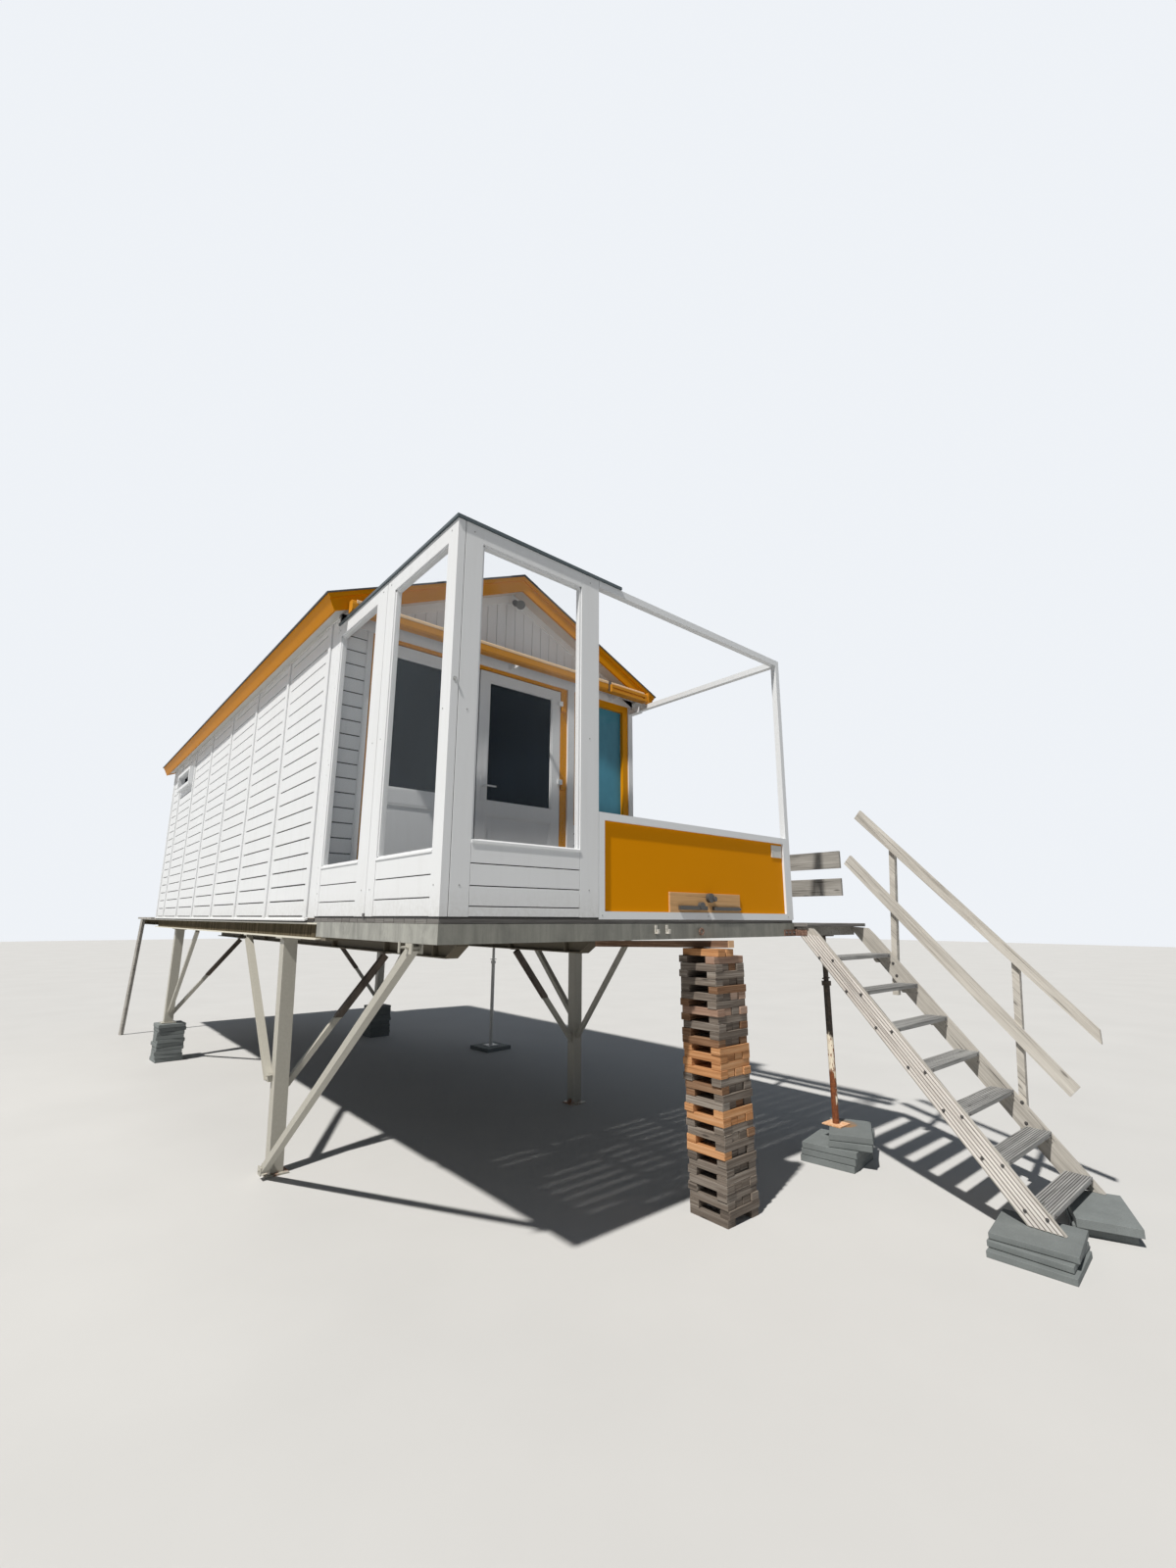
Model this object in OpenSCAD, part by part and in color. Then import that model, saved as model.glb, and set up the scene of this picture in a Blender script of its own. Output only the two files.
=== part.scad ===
// Raised timber site cabin with glazed veranda, side walkway and open stair.
// Millimetres, +Z up, ground at z = 0, front of the cabin faces -Y.

/* [Cabin] */
// Height of the floor above the ground
deck = 1775; // [1200:5:2400]
// Width of the veranda and of the front wall
ver_w = 3000; // [2400:10:3600]
// Depth of the veranda in front of the cabin
ver_d = 1743; // [1200:1:2400]
// Length of the cabin body
cab_l = 6927; // [4000:1:9000]
// Thickness of the cabin walls
wall_t = 60; // [40:1:120]
// Underside of the eave frieze above the floor
wall_h = 2170; // [1900:5:2500]
// Distance between the wall battens
panel_l = 1024; // [600:1:1300]

/* [Roof] */
// Ridge height above the floor
ridge_h = 3010; // [2500:5:3600]
// Roof pitch in degrees
pitch = 24.3; // [10:0.1:45]
// Thickness of the roof panels
roof_t = 100; // [60:1:160]
// Thickness of the roofing felt and its edge trim
felt_t = 15; // [4:1:30]
// Slope length from the ridge to the eave edge
slope_l = 1827; // [1500:1:2400]
// Depth of the eave and gable boards
fascia_h = 140; // [80:1:220]
// Roof overhang at the front gable
over_f = 172; // [50:1:400]
// Roof overhang at the rear gable
over_r = 90; // [50:1:500]

/* [Front wall] */
// Left edge of the door opening
door_x0 = 320; // [200:1:600]
// Right edge of the door opening
door_x1 = 2080; // [1600:1:2400]
// Height of the door opening
door_h = 2100; // [1900:5:2200]
// Height of the solid lower part of each door leaf
door_low = 955; // [300:5:1200]
// Left edge of the front window
win_x0 = 2230; // [2200:1:2400]
// Right edge of the front window
win_x1 = 2940; // [2700:1:2980]
// Bottom of the front window above the floor
win_z0 = 844; // [500:1:1200]

/* [Veranda] */
// Width of the glazed front panel
panel_w = 1006; // [600:1:1600]
// Height of the veranda frames
ver_h = 2105; // [1900:5:2300]
// Height of the balustrade
bal_h = 620; // [500:5:1100]
// Section of the square tubes
tube = 45; // [30:1:60]

/* [Underframe] */
// Section of the steel legs
leg_w = 98; // [80:1:140]
// Distance of the front legs from the veranda front
leg_y1 = 2490; // [2000:5:3500]
// Distance of the rear legs from the veranda front
leg_y2 = 7309; // [5000:5:8000]
// Height of the slab stacks below the rear legs
stack_h = 451; // [200:1:700]
// Rear end of the underframe
rear_y = 10140; // [8500:10:11000]
// Layers of blocks in the crib stack
crib_n = 35; // [10:1:40]
// Width of one crib block
crib_w = 72; // [50:1:95]

/* [Stair and walkway] */
// Height between two treads
riser = 220.3; // [180:0.1:240]
// Going of one tread
going = 193; // [150:0.5:280]
// Thickness of stringers and treads
plank = 27; // [20:1:45]
// Right edge of the stair and walkway
walk_x = 3912; // [3600:1:4300]
// Rear end of the walkway
walk_y = 5900; // [2500:10:8000]

/* [Hidden] */
$fn = 32;
cab_x0 = 0;
cab_x1 = ver_w;
cab_y0 = ver_d;
cab_y1 = ver_d + cab_l;
mid_x = ver_w / 2;
apex = deck + ridge_h;
eave_l = slope_l - 20;
under_v = felt_t + roof_t;
beam_z0 = 1634;
beam_z1 = 1744;
gird_z0 = 1495;
trim_z0 = 1655;
trim_z1 = 1750;
cross_y = 1580;
door_gap = 12;
leaf_w = (door_x1 - door_x0 - 12 - door_gap) / 2;
leaf_t = 45;
leaf_y = ver_d + 5;
pin_y = ver_d - 14;
stile = 92;
glass_top = door_h - stile;
crib_t = 45.4;
crib_top = crib_n * crib_t;
tread_z = deck - 262;
tread_y = -310;
org_x = 1904;
org_y = 4183;

steel = [0.72, 0.69, 0.58];
galv = [0.55, 0.56, 0.55];
white = [0.93, 0.94, 0.94];
ochre = [0.86, 0.58, 0.08];
glassy = [0.55, 0.68, 0.72];
rust = [0.45, 0.27, 0.16];
greywood = [0.62, 0.58, 0.53];
darkgrey = [0.25, 0.26, 0.27];
slate = [0.42, 0.45, 0.46];

// Helpers

module place() translate([-org_x, -org_y, 0]) children();

// Box given by two opposite corners
module box(a, b) translate(a) cube(b - a);

// Profile drawn in the XZ plane, run from y0 to y1
module along_y(y0, y1, pts)
    translate([0, y1, 0]) rotate([90, 0, 0]) linear_extrude(y1 - y0) polygon(pts);

// Profile drawn in the YZ plane, run from x0 to x1
module along_x(x0, x1, pts)
    translate([x0, 0, 0]) rotate([90, 0, 90]) linear_extrude(x1 - x0) polygon(pts);

// Point on the roof section: s down the slope, v below its top face
function rp(side, s, v) =
    [mid_x + side * (s * cos(pitch) - v * sin(pitch)), apex - s * sin(pitch) - v * cos(pitch)];
function ridge(v) = [mid_x, apex - v / cos(pitch)];
// Height of the roof underside above x
function under_z(x) = apex - under_v / cos(pitch) - abs(x - mid_x) * tan(pitch);

// Straight square bar between two points
module bar(p, q, w) {
    d = q - p;
    l = norm(d);
    translate(p) rotate([0, acos(d[2] / l), atan2(d[1], d[0])])
        translate([-w / 2, -w / 2, 0]) cube([w, w, l]);
}

// Straight round tube between two points
module rod(p, q, dia) {
    d = q - p;
    l = norm(d);
    translate(p) rotate([0, acos(d[2] / l), atan2(d[1], d[0])]) cylinder(h = l, d = dia);
}

// Steelwork below the floor

// Flanged girder with its front end cut off at a slope
module girder(x) {
    y1 = cab_y1 - 40;
    along_x(x - 5, x + 5,
        [[1440, gird_z0], [y1, gird_z0], [y1, beam_z0], [1300, beam_z0], [1300, gird_z0 + 90]]);
    // lower flange that follows the sloping end
    along_x(x - 50, x + 50,
        [[1440, gird_z0], [y1, gird_z0], [y1, gird_z0 + 10], [1444, gird_z0 + 10],
         [1310, gird_z0 + 94], [1310, beam_z0], [1300, beam_z0], [1300, gird_z0 + 88]]);
    box([x - 50, 1300, beam_z0 - 10], [x + 50, y1, beam_z0]);
    for (y = [1640, leg_y1, 3700, 4900, 6100, leg_y2])
        box([x - 48, y, gird_z0 + 5], [x + 48, y + 8, beam_z0 - 5]);
}

// Channel that opens outwards
module side_beam(x, s, y0, y1, z0) {
    box([min(x, x + s * 8), y0, z0], [max(x, x + s * 8), y1, beam_z1]);
    for (z = [z0, beam_z1 - 10])
        box([min(x, x + s * 48), y0, z], [max(x, x + s * 48), y1, z + 10]);
}

module side_beams() color(steel) place()
    for (e = [[48, -1], [ver_w - 48, 1]]) {
        x0 = min(e[0], e[0] + e[1] * 8);
        // the web runs on to the first cross member
        box([x0, cross_y, beam_z0], [x0 + 8, 1681, beam_z1]);
        side_beam(e[0], e[1], 1680, cab_y1 + 20, beam_z0);
        side_beam(e[0], e[1], cab_y1 + 19, rear_y, 1665);
    }

module cross_members() color(steel) place()
    for (y = [1500, leg_y1 - 40, 3700, 4900, 6100, leg_y2 - 40, cab_y1 - 80, rear_y - 80])
        box([y < 1600 ? 4 : 48, y, y > cab_y1 ? 1665 : beam_z0],
            [y < 1600 ? ver_w - 4 : ver_w - 48, y + 80, beam_z1]);

module girders() color(steel) place()
    for (x = [880, ver_w - 880]) girder(x);

module veranda_frame() color(galv) place() {
    box([0, 0, trim_z0], [ver_w, 50, trim_z1]);
    for (x = [0, 980, 1980, ver_w - 50]) box([x, 40, trim_z0], [x + 50, 1500, trim_z1]);
    box([0, 1490, beam_z1], [ver_w, cab_y0, trim_z1]);
    box([0, 1500, trim_z0], [4, 1675, trim_z1]);
    box([ver_w - 4, 1500, trim_z0], [ver_w, 1675, trim_z1]);
}

// Two small brackets, a screwed eye and the strap hinge of the stair on the front trim
module trim_fittings() color(rust) place() {
    for (x = [1470, 1570]) {
        box([x - 9, -6, 1690], [x + 9, 0, 1742]);
        box([x - 9, -26, 1690], [x + 9, 0, 1697]);
        box([x - 9, -26, 1690], [x + 9, -20, 1718]);
    }
    translate([1888, -14, 1700]) rotate([90, 0, 0]) rotate_extrude() translate([19, 0]) circle(d = 11);
    translate([1888, -14, 1682]) rotate([-90, 0, 0]) cylinder(h = 14, d = 12);
    // hinge straps on the trim and on the stringer, with the knuckle between them
    box([2862, -7, 1660], [3014, 0, 1704]);
    translate([3018, -9, 1656]) cylinder(h = 52, d = 16);
    box([3020, -95, 1660], [3026.7, -9, 1702]);
}

// Boarded platform behind the cabin with its leaning post
module rear_platform() color(greywood) place() {
    for (y = [cab_y1 + 30 : 144 : rear_y - 60])
        box([-60, y, beam_z1], [ver_w + 60, y + 139, deck - 3]);
    for (x = [200, mid_x, ver_w - 200])
        box([x, cab_y1 + 25, beam_z1 - 60], [x + 45, rear_y - 80, beam_z1 + 1]);
    bar([-100, 9815, 3], [-38, 9700, 1740], 45);
}

module foot(x, y, z) box([x - 80, y - 80, z], [x + 80, y + 80, z + 12]);

// Box section leg; lean is how far its top stands off to the left
module leg(x, y, z, lean) {
    h = leg_w / 2;
    difference() {
        along_y(y - h, y + h,
            [[x - h, z + 10], [x + h, z + 10], [x + h - lean, beam_z0], [x - h - lean, beam_z0]]);
        along_y(y - h + 6, y + h - 6,
            [[x - h + 6, z + 16], [x + h - 6, z + 16],
             [x + h - 6 - lean, beam_z0 - 6], [x - h + 6 - lean, beam_z0 - 6]]);
    }
    foot(x, y, z);
    // head plate with its bolts
    box([x - lean - 75, y - 75, beam_z0 - 10], [x - lean + 75, y + 75, beam_z0]);
    for (s = [-1, 1]) translate([x - lean + s * 58, y - 58, beam_z0 - 22]) cylinder(h = 16, d = 18, $fn = 6);
}

// Thick upper tube of a brace, with the plate that is bolted under the girder
module brace_top(x, y, s) {
    bar([x - s * 363, y, 1020], [x - s * 8, y, 1474], 50);
    box([x - 40, y - 32, gird_z0 - 8], [x + 36, y + 32, gird_z0]);
}

// Channel between two points of one plane across X; it opens to the left for s = -1
module channel(p, q, w, s) {
    d = q - p;
    l = norm(d);
    translate(p) rotate([0, acos(d[2] / l), atan2(d[1], d[0])])
        difference() {
            translate([-w / 2, -w / 2, 0]) cube([w, w, l]);
            translate([6 - w / 2, s < 0 ? 6 - w / 2 : -6 - w / 2, -1]) cube([w - 12, w, l + 2]);
        }
}

// Plate under a beam, on which a brace ends
module head_plate(x0, x1, y) box([x0, y - 45, beam_z0 - 8], [x1, y + 45, beam_z0]);

// Pair of lugs that hold the lower end of a brace
module lugs(x, y, z) {
    for (s = [-1, 1]) box([x + s * 28 - 4, y - 35, z - 30], [x + s * 28 + 4, y + 35, z + 22]);
    translate([x - 40, y, z]) rotate([0, 90, 0]) cylinder(h = 80, d = 16);
}

leg_x1 = 107;
leg_x2 = ver_w - 107;

module leg_front_left() color(steel) place() {
    leg(123, leg_y1, 0, 49);
    // long brace to the veranda's front corner, with its shackle and T-handled pin
    bar([30, 2405, 62], [30, 300, 1634], 46);
    lugs(30, 2400, 66);
    box([24, 2420, 40], [90, 2450, 92]);
    lugs(30, 296, 1632);
    translate([-50, 296, 1636]) rotate([0, 90, 0]) cylinder(h = 40, d = 12);
    translate([-50, 296, 1610]) cylinder(h = 54, d = 12);
    // brace across to the girder, in two sizes of tube
    bar([150, leg_y1, 580], [500, leg_y1, 1033], 42);
    brace_top(853, leg_y1, 1);
    channel([30, 2510, 640], [30, 3484, 1614], 50, -1);
    head_plate(0, 60, 3484);
    box([26, 2500, 612], [80, 2560, 668]);
}

module leg_front_right() color(steel) place() {
    leg(leg_x2, leg_y1, 0, 0);
    bar([2860, leg_y1, 580], [2500, leg_y1, 1033], 42);
    brace_top(2147, leg_y1, -1);
    channel([2964, 2510, 700], [2964, 3424, 1614], 50, 1);
    head_plate(2930, ver_w, 3424);
    bar([leg_x2, 2450, 620], [leg_x2, 1640, 1667], 40);
    box([leg_x2 - 5, cross_y, 1636], [leg_x2 + 5, 1700, 1690]);
    box([2920, 2500, 680], [2970, 2560, 730]);
}

module leg_rear_left() color(steel) place() {
    leg(leg_x1, leg_y2, stack_h, 0);
    bar([leg_x1, leg_y2 - 40, 590], [leg_x1, 6148, 1618], 40);
    head_plate(leg_x1 - 40, leg_x1 + 40, 6140);
    bar([140, leg_y2, 560], [500, leg_y2, 1033], 42);
    brace_top(853, leg_y2, 1);
}

module leg_rear_right() color(steel) place() {
    leg(leg_x2, leg_y2, stack_h, 0);
    bar([leg_x2, leg_y2 - 40, 590], [leg_x2, 6148, 1618], 40);
    head_plate(leg_x2 - 40, leg_x2 + 40, 6140);
    bar([2860, leg_y2, 560], [2500, leg_y2, 1033], 42);
    brace_top(2147, leg_y2, -1);
}

// Paving slab on the point c, turned by a degrees; a slab that lies on another is bedded into it by a hair
module slab(c, w, l, t, a) {
    bed = min(0.3, c[2]);
    translate([c[0], c[1], c[2] - bed]) rotate([0, 0, a]) translate([-w / 2, -l / 2, 0]) cube([w, l, t + bed]);
}

slab_n = 10;

module rear_slabs() color(slate) place()
    for (x = [leg_x1, leg_x2])
        for (i = [0 : slab_n - 1])
            slab([x + (x < mid_x ? 30 : 0) + 6 * sin(i * 151 + 20), leg_y2 + 6 * cos(i * 97 + 10),
                i * stack_h / slab_n], 300, 300, stack_h / slab_n, 1 + 3 * sin(i * 83 + x));

// Crossed layers of short blocks: two with a gap along X, four side by side along Y
module crib_stack() color(greywood) place()
    for (i = [0 : crib_n - 1]) {
        dx = -30 * i / crib_n + 5 * sin(i * 77);
        dy = 14 * i / crib_n + 5 * cos(i * 131);
        translate([1906 + dx, -135 + dy, i * crib_t]) {
            if (i % 2 == 1)
                for (k = [0, 300 - crib_w])
                    translate([3 * sin(i * 61 + k), k, 0]) cube([300, crib_w, crib_t]);
            else if (i == crib_n - 1)
                for (k = [0, 84]) translate([28 + k, -2, 0]) cube([crib_w, 300, crib_t]);
            else
                for (k = [0, 76, 152, 228])
                    if (i > 0 || k == 0 || k == 228)
                        translate([k, (k == 76 || k == 152 ? 9 : 0) + 3 * sin(i * 43 + k), 0])
                            cube([crib_w, 292, crib_t]);
        }
    }

// Loose bearer on the stack, under the veranda frame
module crib_beam() color(greywood) place()
    along_x(2005, 2063, [[-136, 1598], [162, 1589.5], [1170, 1561], [1170, 1606], [-136, 1643]]);

// Cabin body

module cabin_floor() color(greywood) place()
    box([cab_x0, cab_y0, beam_z1], [cab_x1, cab_y1, deck]);

module side_wall(x0, x1) {
    along_y(cab_y0 + wall_t, cab_y1,
        [[x0, deck], [x1, deck], [x1, under_z(x1)], [x0, under_z(x0)]]);
}

// Cover battens on the joints between the wall panels, and the sloping strip at the wall's foot
module wall_trim(x, s) {
    x0 = min(x, x + s * 12);
    for (y = [cab_y0 + 142 : panel_l : cab_y1 - 60]) box([x0, y, deck], [x0 + 12, y + 45, deck + wall_h]);
    box([x0, cab_y1 - 45, deck], [x0 + 12, cab_y1, deck + wall_h]);
    along_y(cab_y0 + 127, cab_y1 + 4,
        [[x, deck + 4], [x + s * 22, deck - 8], [x + s * 22, deck - 20], [x, deck - 14]]);
}

module wall_left() color(white) place()
    difference() {
        union() {
            side_wall(cab_x0, cab_x0 + wall_t);
            wall_trim(cab_x0, -1);
        }
        box([cab_x0 - 20, swin_y0, deck + swin_z0], [cab_x0 + wall_t + 1, swin_y1, deck + swin_z1]);
    }

module wall_right() color(white) place() {
    side_wall(cab_x1 - wall_t, cab_x1);
    wall_trim(cab_x1, 1);
}

module wall_rear() color(white) place()
    along_y(cab_y1 - wall_t, cab_y1,
        [[wall_t, deck], [ver_w - wall_t, deck], [ver_w - wall_t, under_z(wall_t)],
         [mid_x, under_z(mid_x)], [wall_t, under_z(wall_t)]]);

// Heights of the door head and of the front window head are the same
head_z = deck + door_h + 30;
swin_y0 = 7060;
swin_y1 = 7950;
swin_z0 = 1751;
swin_z1 = 1996;

module front_wall_left() color(white) place() {
    box([0, cab_y0, deck], [door_x0 - 70, cab_y0 + wall_t, head_z]);
    box([door_x0 - 110, cab_y0 - 12, deck], [door_x0 - 70, cab_y0, head_z]);
}

module front_wall_right() color(white) place()
    difference() {
        union() {
            box([door_x1 + 70, cab_y0, deck], [ver_w, cab_y0 + wall_t, head_z]);
            box([door_x1 + 70, cab_y0 - 16, deck], [win_x0, cab_y0, head_z]);
            box([win_x1, cab_y0 - 16, deck], [ver_w, cab_y0, head_z]);
        }
        box([win_x0, cab_y0 - 20, deck + win_z0], [win_x1, cab_y0 + wall_t + 1, head_z + 1]);
    }

// Distance from the wall's edge at which the upper lintel board meets the roof
lintel_in = (head_z + 120 - under_z(0)) / tan(pitch);

module front_gable() color(white) place() {
    along_y(cab_y0, cab_y0 + wall_t,
        [[0, head_z], [ver_w, head_z], [ver_w, under_z(ver_w)], [mid_x, under_z(mid_x)], [0, under_z(0)]]);
    // two lintel boards with a step between them
    box([0, cab_y0 - 14, head_z], [ver_w, cab_y0, head_z + 73]);
    along_y(cab_y0 - 8, cab_y0, [[0, head_z + 73], [ver_w, head_z + 73], [ver_w, under_z(ver_w)],
        [ver_w - lintel_in, head_z + 120], [lintel_in, head_z + 120], [0, under_z(0)]]);
    // boards along the slopes and a square block where they meet
    for (s = [-1, 1])
        along_y(cab_y0 - 14, cab_y0, [[mid_x, under_z(mid_x)], [mid_x + s * mid_x, under_z(0)],
            [mid_x + s * mid_x, under_z(0) - 72], [mid_x, under_z(mid_x) - 72]]);
    box([mid_x - 45, cab_y0 - 22, under_z(mid_x) - 105], [mid_x + 45, cab_y0, under_z(mid_x) - 25]);
}

// Fixed half of a lift-off hinge on the door jamb
module jamb_hinge(x, s, z) {
    translate([x, pin_y, z]) cylinder(h = 45, d = 14);
    box([min(x, x + s * 36), pin_y - 3, z], [max(x, x + s * 36), pin_y + 3, z + 45]);
    box([min(x + s * 6, x + s * 36), pin_y, z], [max(x + s * 6, x + s * 36), ver_d, z + 45]);
}

// Moving half of the same hinge on the leaf
module leaf_hinge(x, s, z) {
    translate([x, pin_y, z]) cylinder(h = 45, d = 14);
    box([min(x, x - s * 36), pin_y - 3, z], [max(x, x - s * 36), pin_y + 3, z + 45]);
    box([min(x - s * 10, x - s * 36), pin_y, z], [max(x - s * 10, x - s * 36), leaf_y, z + 45]);
}

hinge_z = [200, 1150, 1900];
pin_l = door_x0 - 3;
pin_r = door_x1 + 3;

module door_frame() color(ochre) place() {
    difference() {
        box([door_x0 - 70, ver_d, deck], [door_x1 + 70, ver_d + wall_t + 5, deck + door_h + 30]);
        box([door_x0, ver_d - 1, deck - 1], [door_x1, ver_d + wall_t + 6, deck + door_h]);
    }
    for (z = hinge_z) {
        jamb_hinge(pin_l, -1, deck + z);
        jamb_hinge(pin_r, 1, deck + z);
    }
}

module leaf(x0, x1)
    difference() {
        box([x0, leaf_y, deck + 12], [x1, leaf_y + leaf_t, deck + door_h - 8]);
        box([x0 + stile, leaf_y - 1, deck + door_low], [x1 - stile, leaf_y + leaf_t + 1, deck + glass_top]);
        for (y = [leaf_y - 1, leaf_y + leaf_t - 7])
            box([x0 + stile, y, deck + 150], [x1 - stile, y + 8, deck + door_low - 110]);
    }

module door_left() color(white) place() {
    leaf(door_x0 + 6, door_x0 + 6 + leaf_w);
    for (z = hinge_z) leaf_hinge(pin_l, -1, deck + z + 51);
}

module door_right() color(white) place() {
    x = door_x1 - 6 - leaf_w;
    leaf(x, x + leaf_w);
    for (z = hinge_z) leaf_hinge(pin_r, 1, deck + z + 51);
    // lever handle on its long plate
    box([x + 38, leaf_y - 4, deck + 960], [x + 68, leaf_y + 1, deck + 1160]);
    translate([x + 53, leaf_y, deck + 1080]) rotate([90, 0, 0]) cylinder(h = 45, d = 16);
    hull() {
        translate([x + 53, leaf_y - 45, deck + 1080]) sphere(d = 16, $fn = 16);
        translate([x + 158, leaf_y - 45, deck + 1080]) sphere(d = 13, $fn = 16);
    }
}

module leaf_glass(x0)
    box([x0 + stile, leaf_y + 18, deck + door_low], [x0 + leaf_w - stile, leaf_y + 26, deck + glass_top]);

module door_glass_left() color(glassy) place() leaf_glass(door_x0 + 6);
module door_glass_right() color(glassy) place() leaf_glass(door_x1 - 6 - leaf_w);

module front_window_frame() color(ochre) place()
    difference() {
        box([win_x0, ver_d - 5, deck + win_z0], [win_x1, ver_d + wall_t, deck + door_h + 30]);
        box([win_x0 + 70, ver_d - 6, deck + win_z0 + 76],
            [win_x1 - 70, ver_d + wall_t + 1, deck + door_h - 40]);
    }

module front_window_glass() color(glassy) place()
    box([win_x0 + 70, ver_d + 30, deck + win_z0 + 76], [win_x1 - 70, ver_d + 38, deck + door_h - 40]);

module side_window_frame() color(white) place()
    difference() {
        box([cab_x0 - 60, swin_y0, deck + swin_z0], [cab_x0 + wall_t, swin_y1, deck + swin_z1]);
        box([cab_x0 - 61, swin_y0 + 45, deck + swin_z0 + 40],
            [cab_x0 + wall_t + 1, swin_y1 - 45, deck + swin_z1 - 40]);
    }

module side_window_glass() color(glassy) place()
    box([cab_x0 + 20, swin_y0 + 45, deck + swin_z0 + 40], [cab_x0 + 28, swin_y1 - 45, deck + swin_z1 - 40]);

// Roof

roof_y0 = ver_d - over_f;
roof_y1 = cab_y1 + over_r;

// Each panel lies half a millimetre below the felt
module roof_slab(side)
    along_y(roof_y0 + 20, roof_y1 - 20,
        [ridge(felt_t + 0.5), rp(side, eave_l - 0.3, felt_t + 0.5),
         rp(side, eave_l - 0.3, under_v), ridge(under_v)]);

module roof_panels() color(white) place()
    for (side = [-1, 1]) roof_slab(side);

module roofing() color(darkgrey) place()
    along_y(roof_y0 - 20, roof_y1 + 20,
        [ridge(0), rp(1, slope_l + 10, 0), rp(1, slope_l + 10, felt_t), ridge(felt_t),
         rp(-1, slope_l + 10, felt_t), rp(-1, slope_l + 10, 0)]);

module barge(y0, y1, h)
    along_y(y0, y1,
        [ridge(felt_t), rp(1, slope_l, felt_t), rp(1, slope_l, h), ridge(h),
         rp(-1, slope_l, h), rp(-1, slope_l, felt_t)]);

module roof_edge_boards() color(ochre) place() {
    for (y = [roof_y0, roof_y1 - 20]) {
        barge(y, y + 20, fascia_h);
        // narrow upper strip that stands proud of the gable board
        barge(y < 2000 ? y - 12 : y + 19, y < 2000 ? y + 1 : y + 32, 48);
    }
    for (s = [-1, 1]) {
        along_y(roof_y0 + 19, roof_y1 - 19,
            [rp(s, eave_l, felt_t), rp(s, slope_l, felt_t), rp(s, slope_l, fascia_h), rp(s, eave_l, fascia_h)]);
    }
}

// Soffit strips from the eave boards to the walls, half a millimetre below the panels, and friezes
module eave_soffits() color(white) place()
    for (s = [-1, 1]) {
        x = s < 0 ? cab_x0 : cab_x1;
        xo = x + s * 12;
        along_y(roof_y0 + 20, roof_y1 - 20,
            [rp(s, eave_l - 0.5, under_v + 0.5), rp(s, eave_l - 0.5, under_v + 12),
             [xo, under_z(xo) - 14], [xo, under_z(xo) - 0.5]]);
        box([min(x, xo), cab_y0, deck + wall_h], [max(x, xo), cab_y1, under_z(xo) - 0.5]);
    }

// Folded awning: rounded case on wall brackets, front bar, folded arm and end cap
module awning() color(ochre) place() {
    z = deck + 2135;
    along_x(-10, 2985,
        [[1502, z], [1560, z], [1560, z + 90], [1512, z + 90], [1494, z + 76], [1490, z + 55], [1490, z + 14]]);
    box([2985, 1484, z + 5], [3000, 1556, z + 98]);
    // arm folded under the case, with its elbow
    box([2470, 1462, z + 32], [2940, 1484, z + 58]);
    box([2470, 1462, z - 12], [2940, 1484, z + 12]);
    for (x = [2470, 2918]) box([x, 1464, z - 12], [x + 22, 1491, z + 58]);
    for (x = [300, mid_x, ver_w - 300]) {
        box([x - 4, 1550, z + 20], [x + 4, ver_d - 20, z + 60]);
        box([x - 20, ver_d - 22, z + 10], [x + 20, ver_d - 14, z + 68]);
    }
}

// Flood lamp on its swivel: wall plate, arm, joint and bell-shaped head
module gable_lamp() color(darkgrey) place() {
    translate([1515, ver_d - 22, deck + 2800]) rotate([90, 0, 0]) cylinder(h = 12, d = 60);
    rod([1515, ver_d - 30, deck + 2800], [1530, ver_d - 72, deck + 2790], 16);
    translate([1530, ver_d - 72, deck + 2790]) sphere(d = 34, $fn = 20);
    translate([1530, ver_d - 72, deck + 2790]) rotate([128, 0, -25]) {
        cylinder(h = 34, d1 = 26, d2 = 56);
        translate([0, 0, 33]) cylinder(h = 52, d1 = 62, d2 = 82);
    }
}

// Veranda

module veranda_floor() color(greywood) place()
    box([0, 0, trim_z1], [ver_w, ver_d, deck]);

module veranda_panels() color(white) place() {
    difference() {
        box([0, 0, deck], [45, ver_d, deck + ver_h]);
        box([-1, 104, deck + 332], [46, 780, deck + 2000]);
        box([-1, 1050, deck + 335], [46, 1690, deck + 2010]);
        box([-1, 892, deck - 1], [8, 897, deck + ver_h + 1]);
    }
    difference() {
        box([45, 0, deck], [panel_w, 45, deck + ver_h]);
        box([158, -1, deck + 379], [862, 46, deck + 2010]);
    }
}

module veranda_glass() color(glassy) place() {
    box([20, 104, deck + 332], [26, 780, deck + 2000]);
    box([20, 1050, deck + 335], [26, 1690, deck + 2010]);
    box([158, 20, deck + 379], [862, 26, deck + 2010]);
}

module capping() color(darkgrey) place() {
    box([-12, -12, deck + ver_h], [55, ver_d, deck + ver_h + 18]);
    box([-12, -12, deck + ver_h], [1195, 55, deck + ver_h + 18]);
}

module balustrade_frame() color(white) place()
    difference() {
        box([panel_w, 0, deck], [ver_w - tube, 45, deck + bal_h]);
        box([panel_w + 45, -1, deck + 45], [ver_w - tube - 40, 46, deck + bal_h - 45]);
    }

module balustrade_panel() color(ochre) place() {
    box([panel_w + 45, 17, deck + 45], [ver_w - tube - 40, 27, deck + bal_h - 45]);
    // board that carries the catch, and a small blank plate in the upper corner
    box([1610, 5, deck + 45], [2340, 18, deck + 172]);
    box([2772, 11, deck + 466], [2905, 18, deck + 560]);
}

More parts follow.
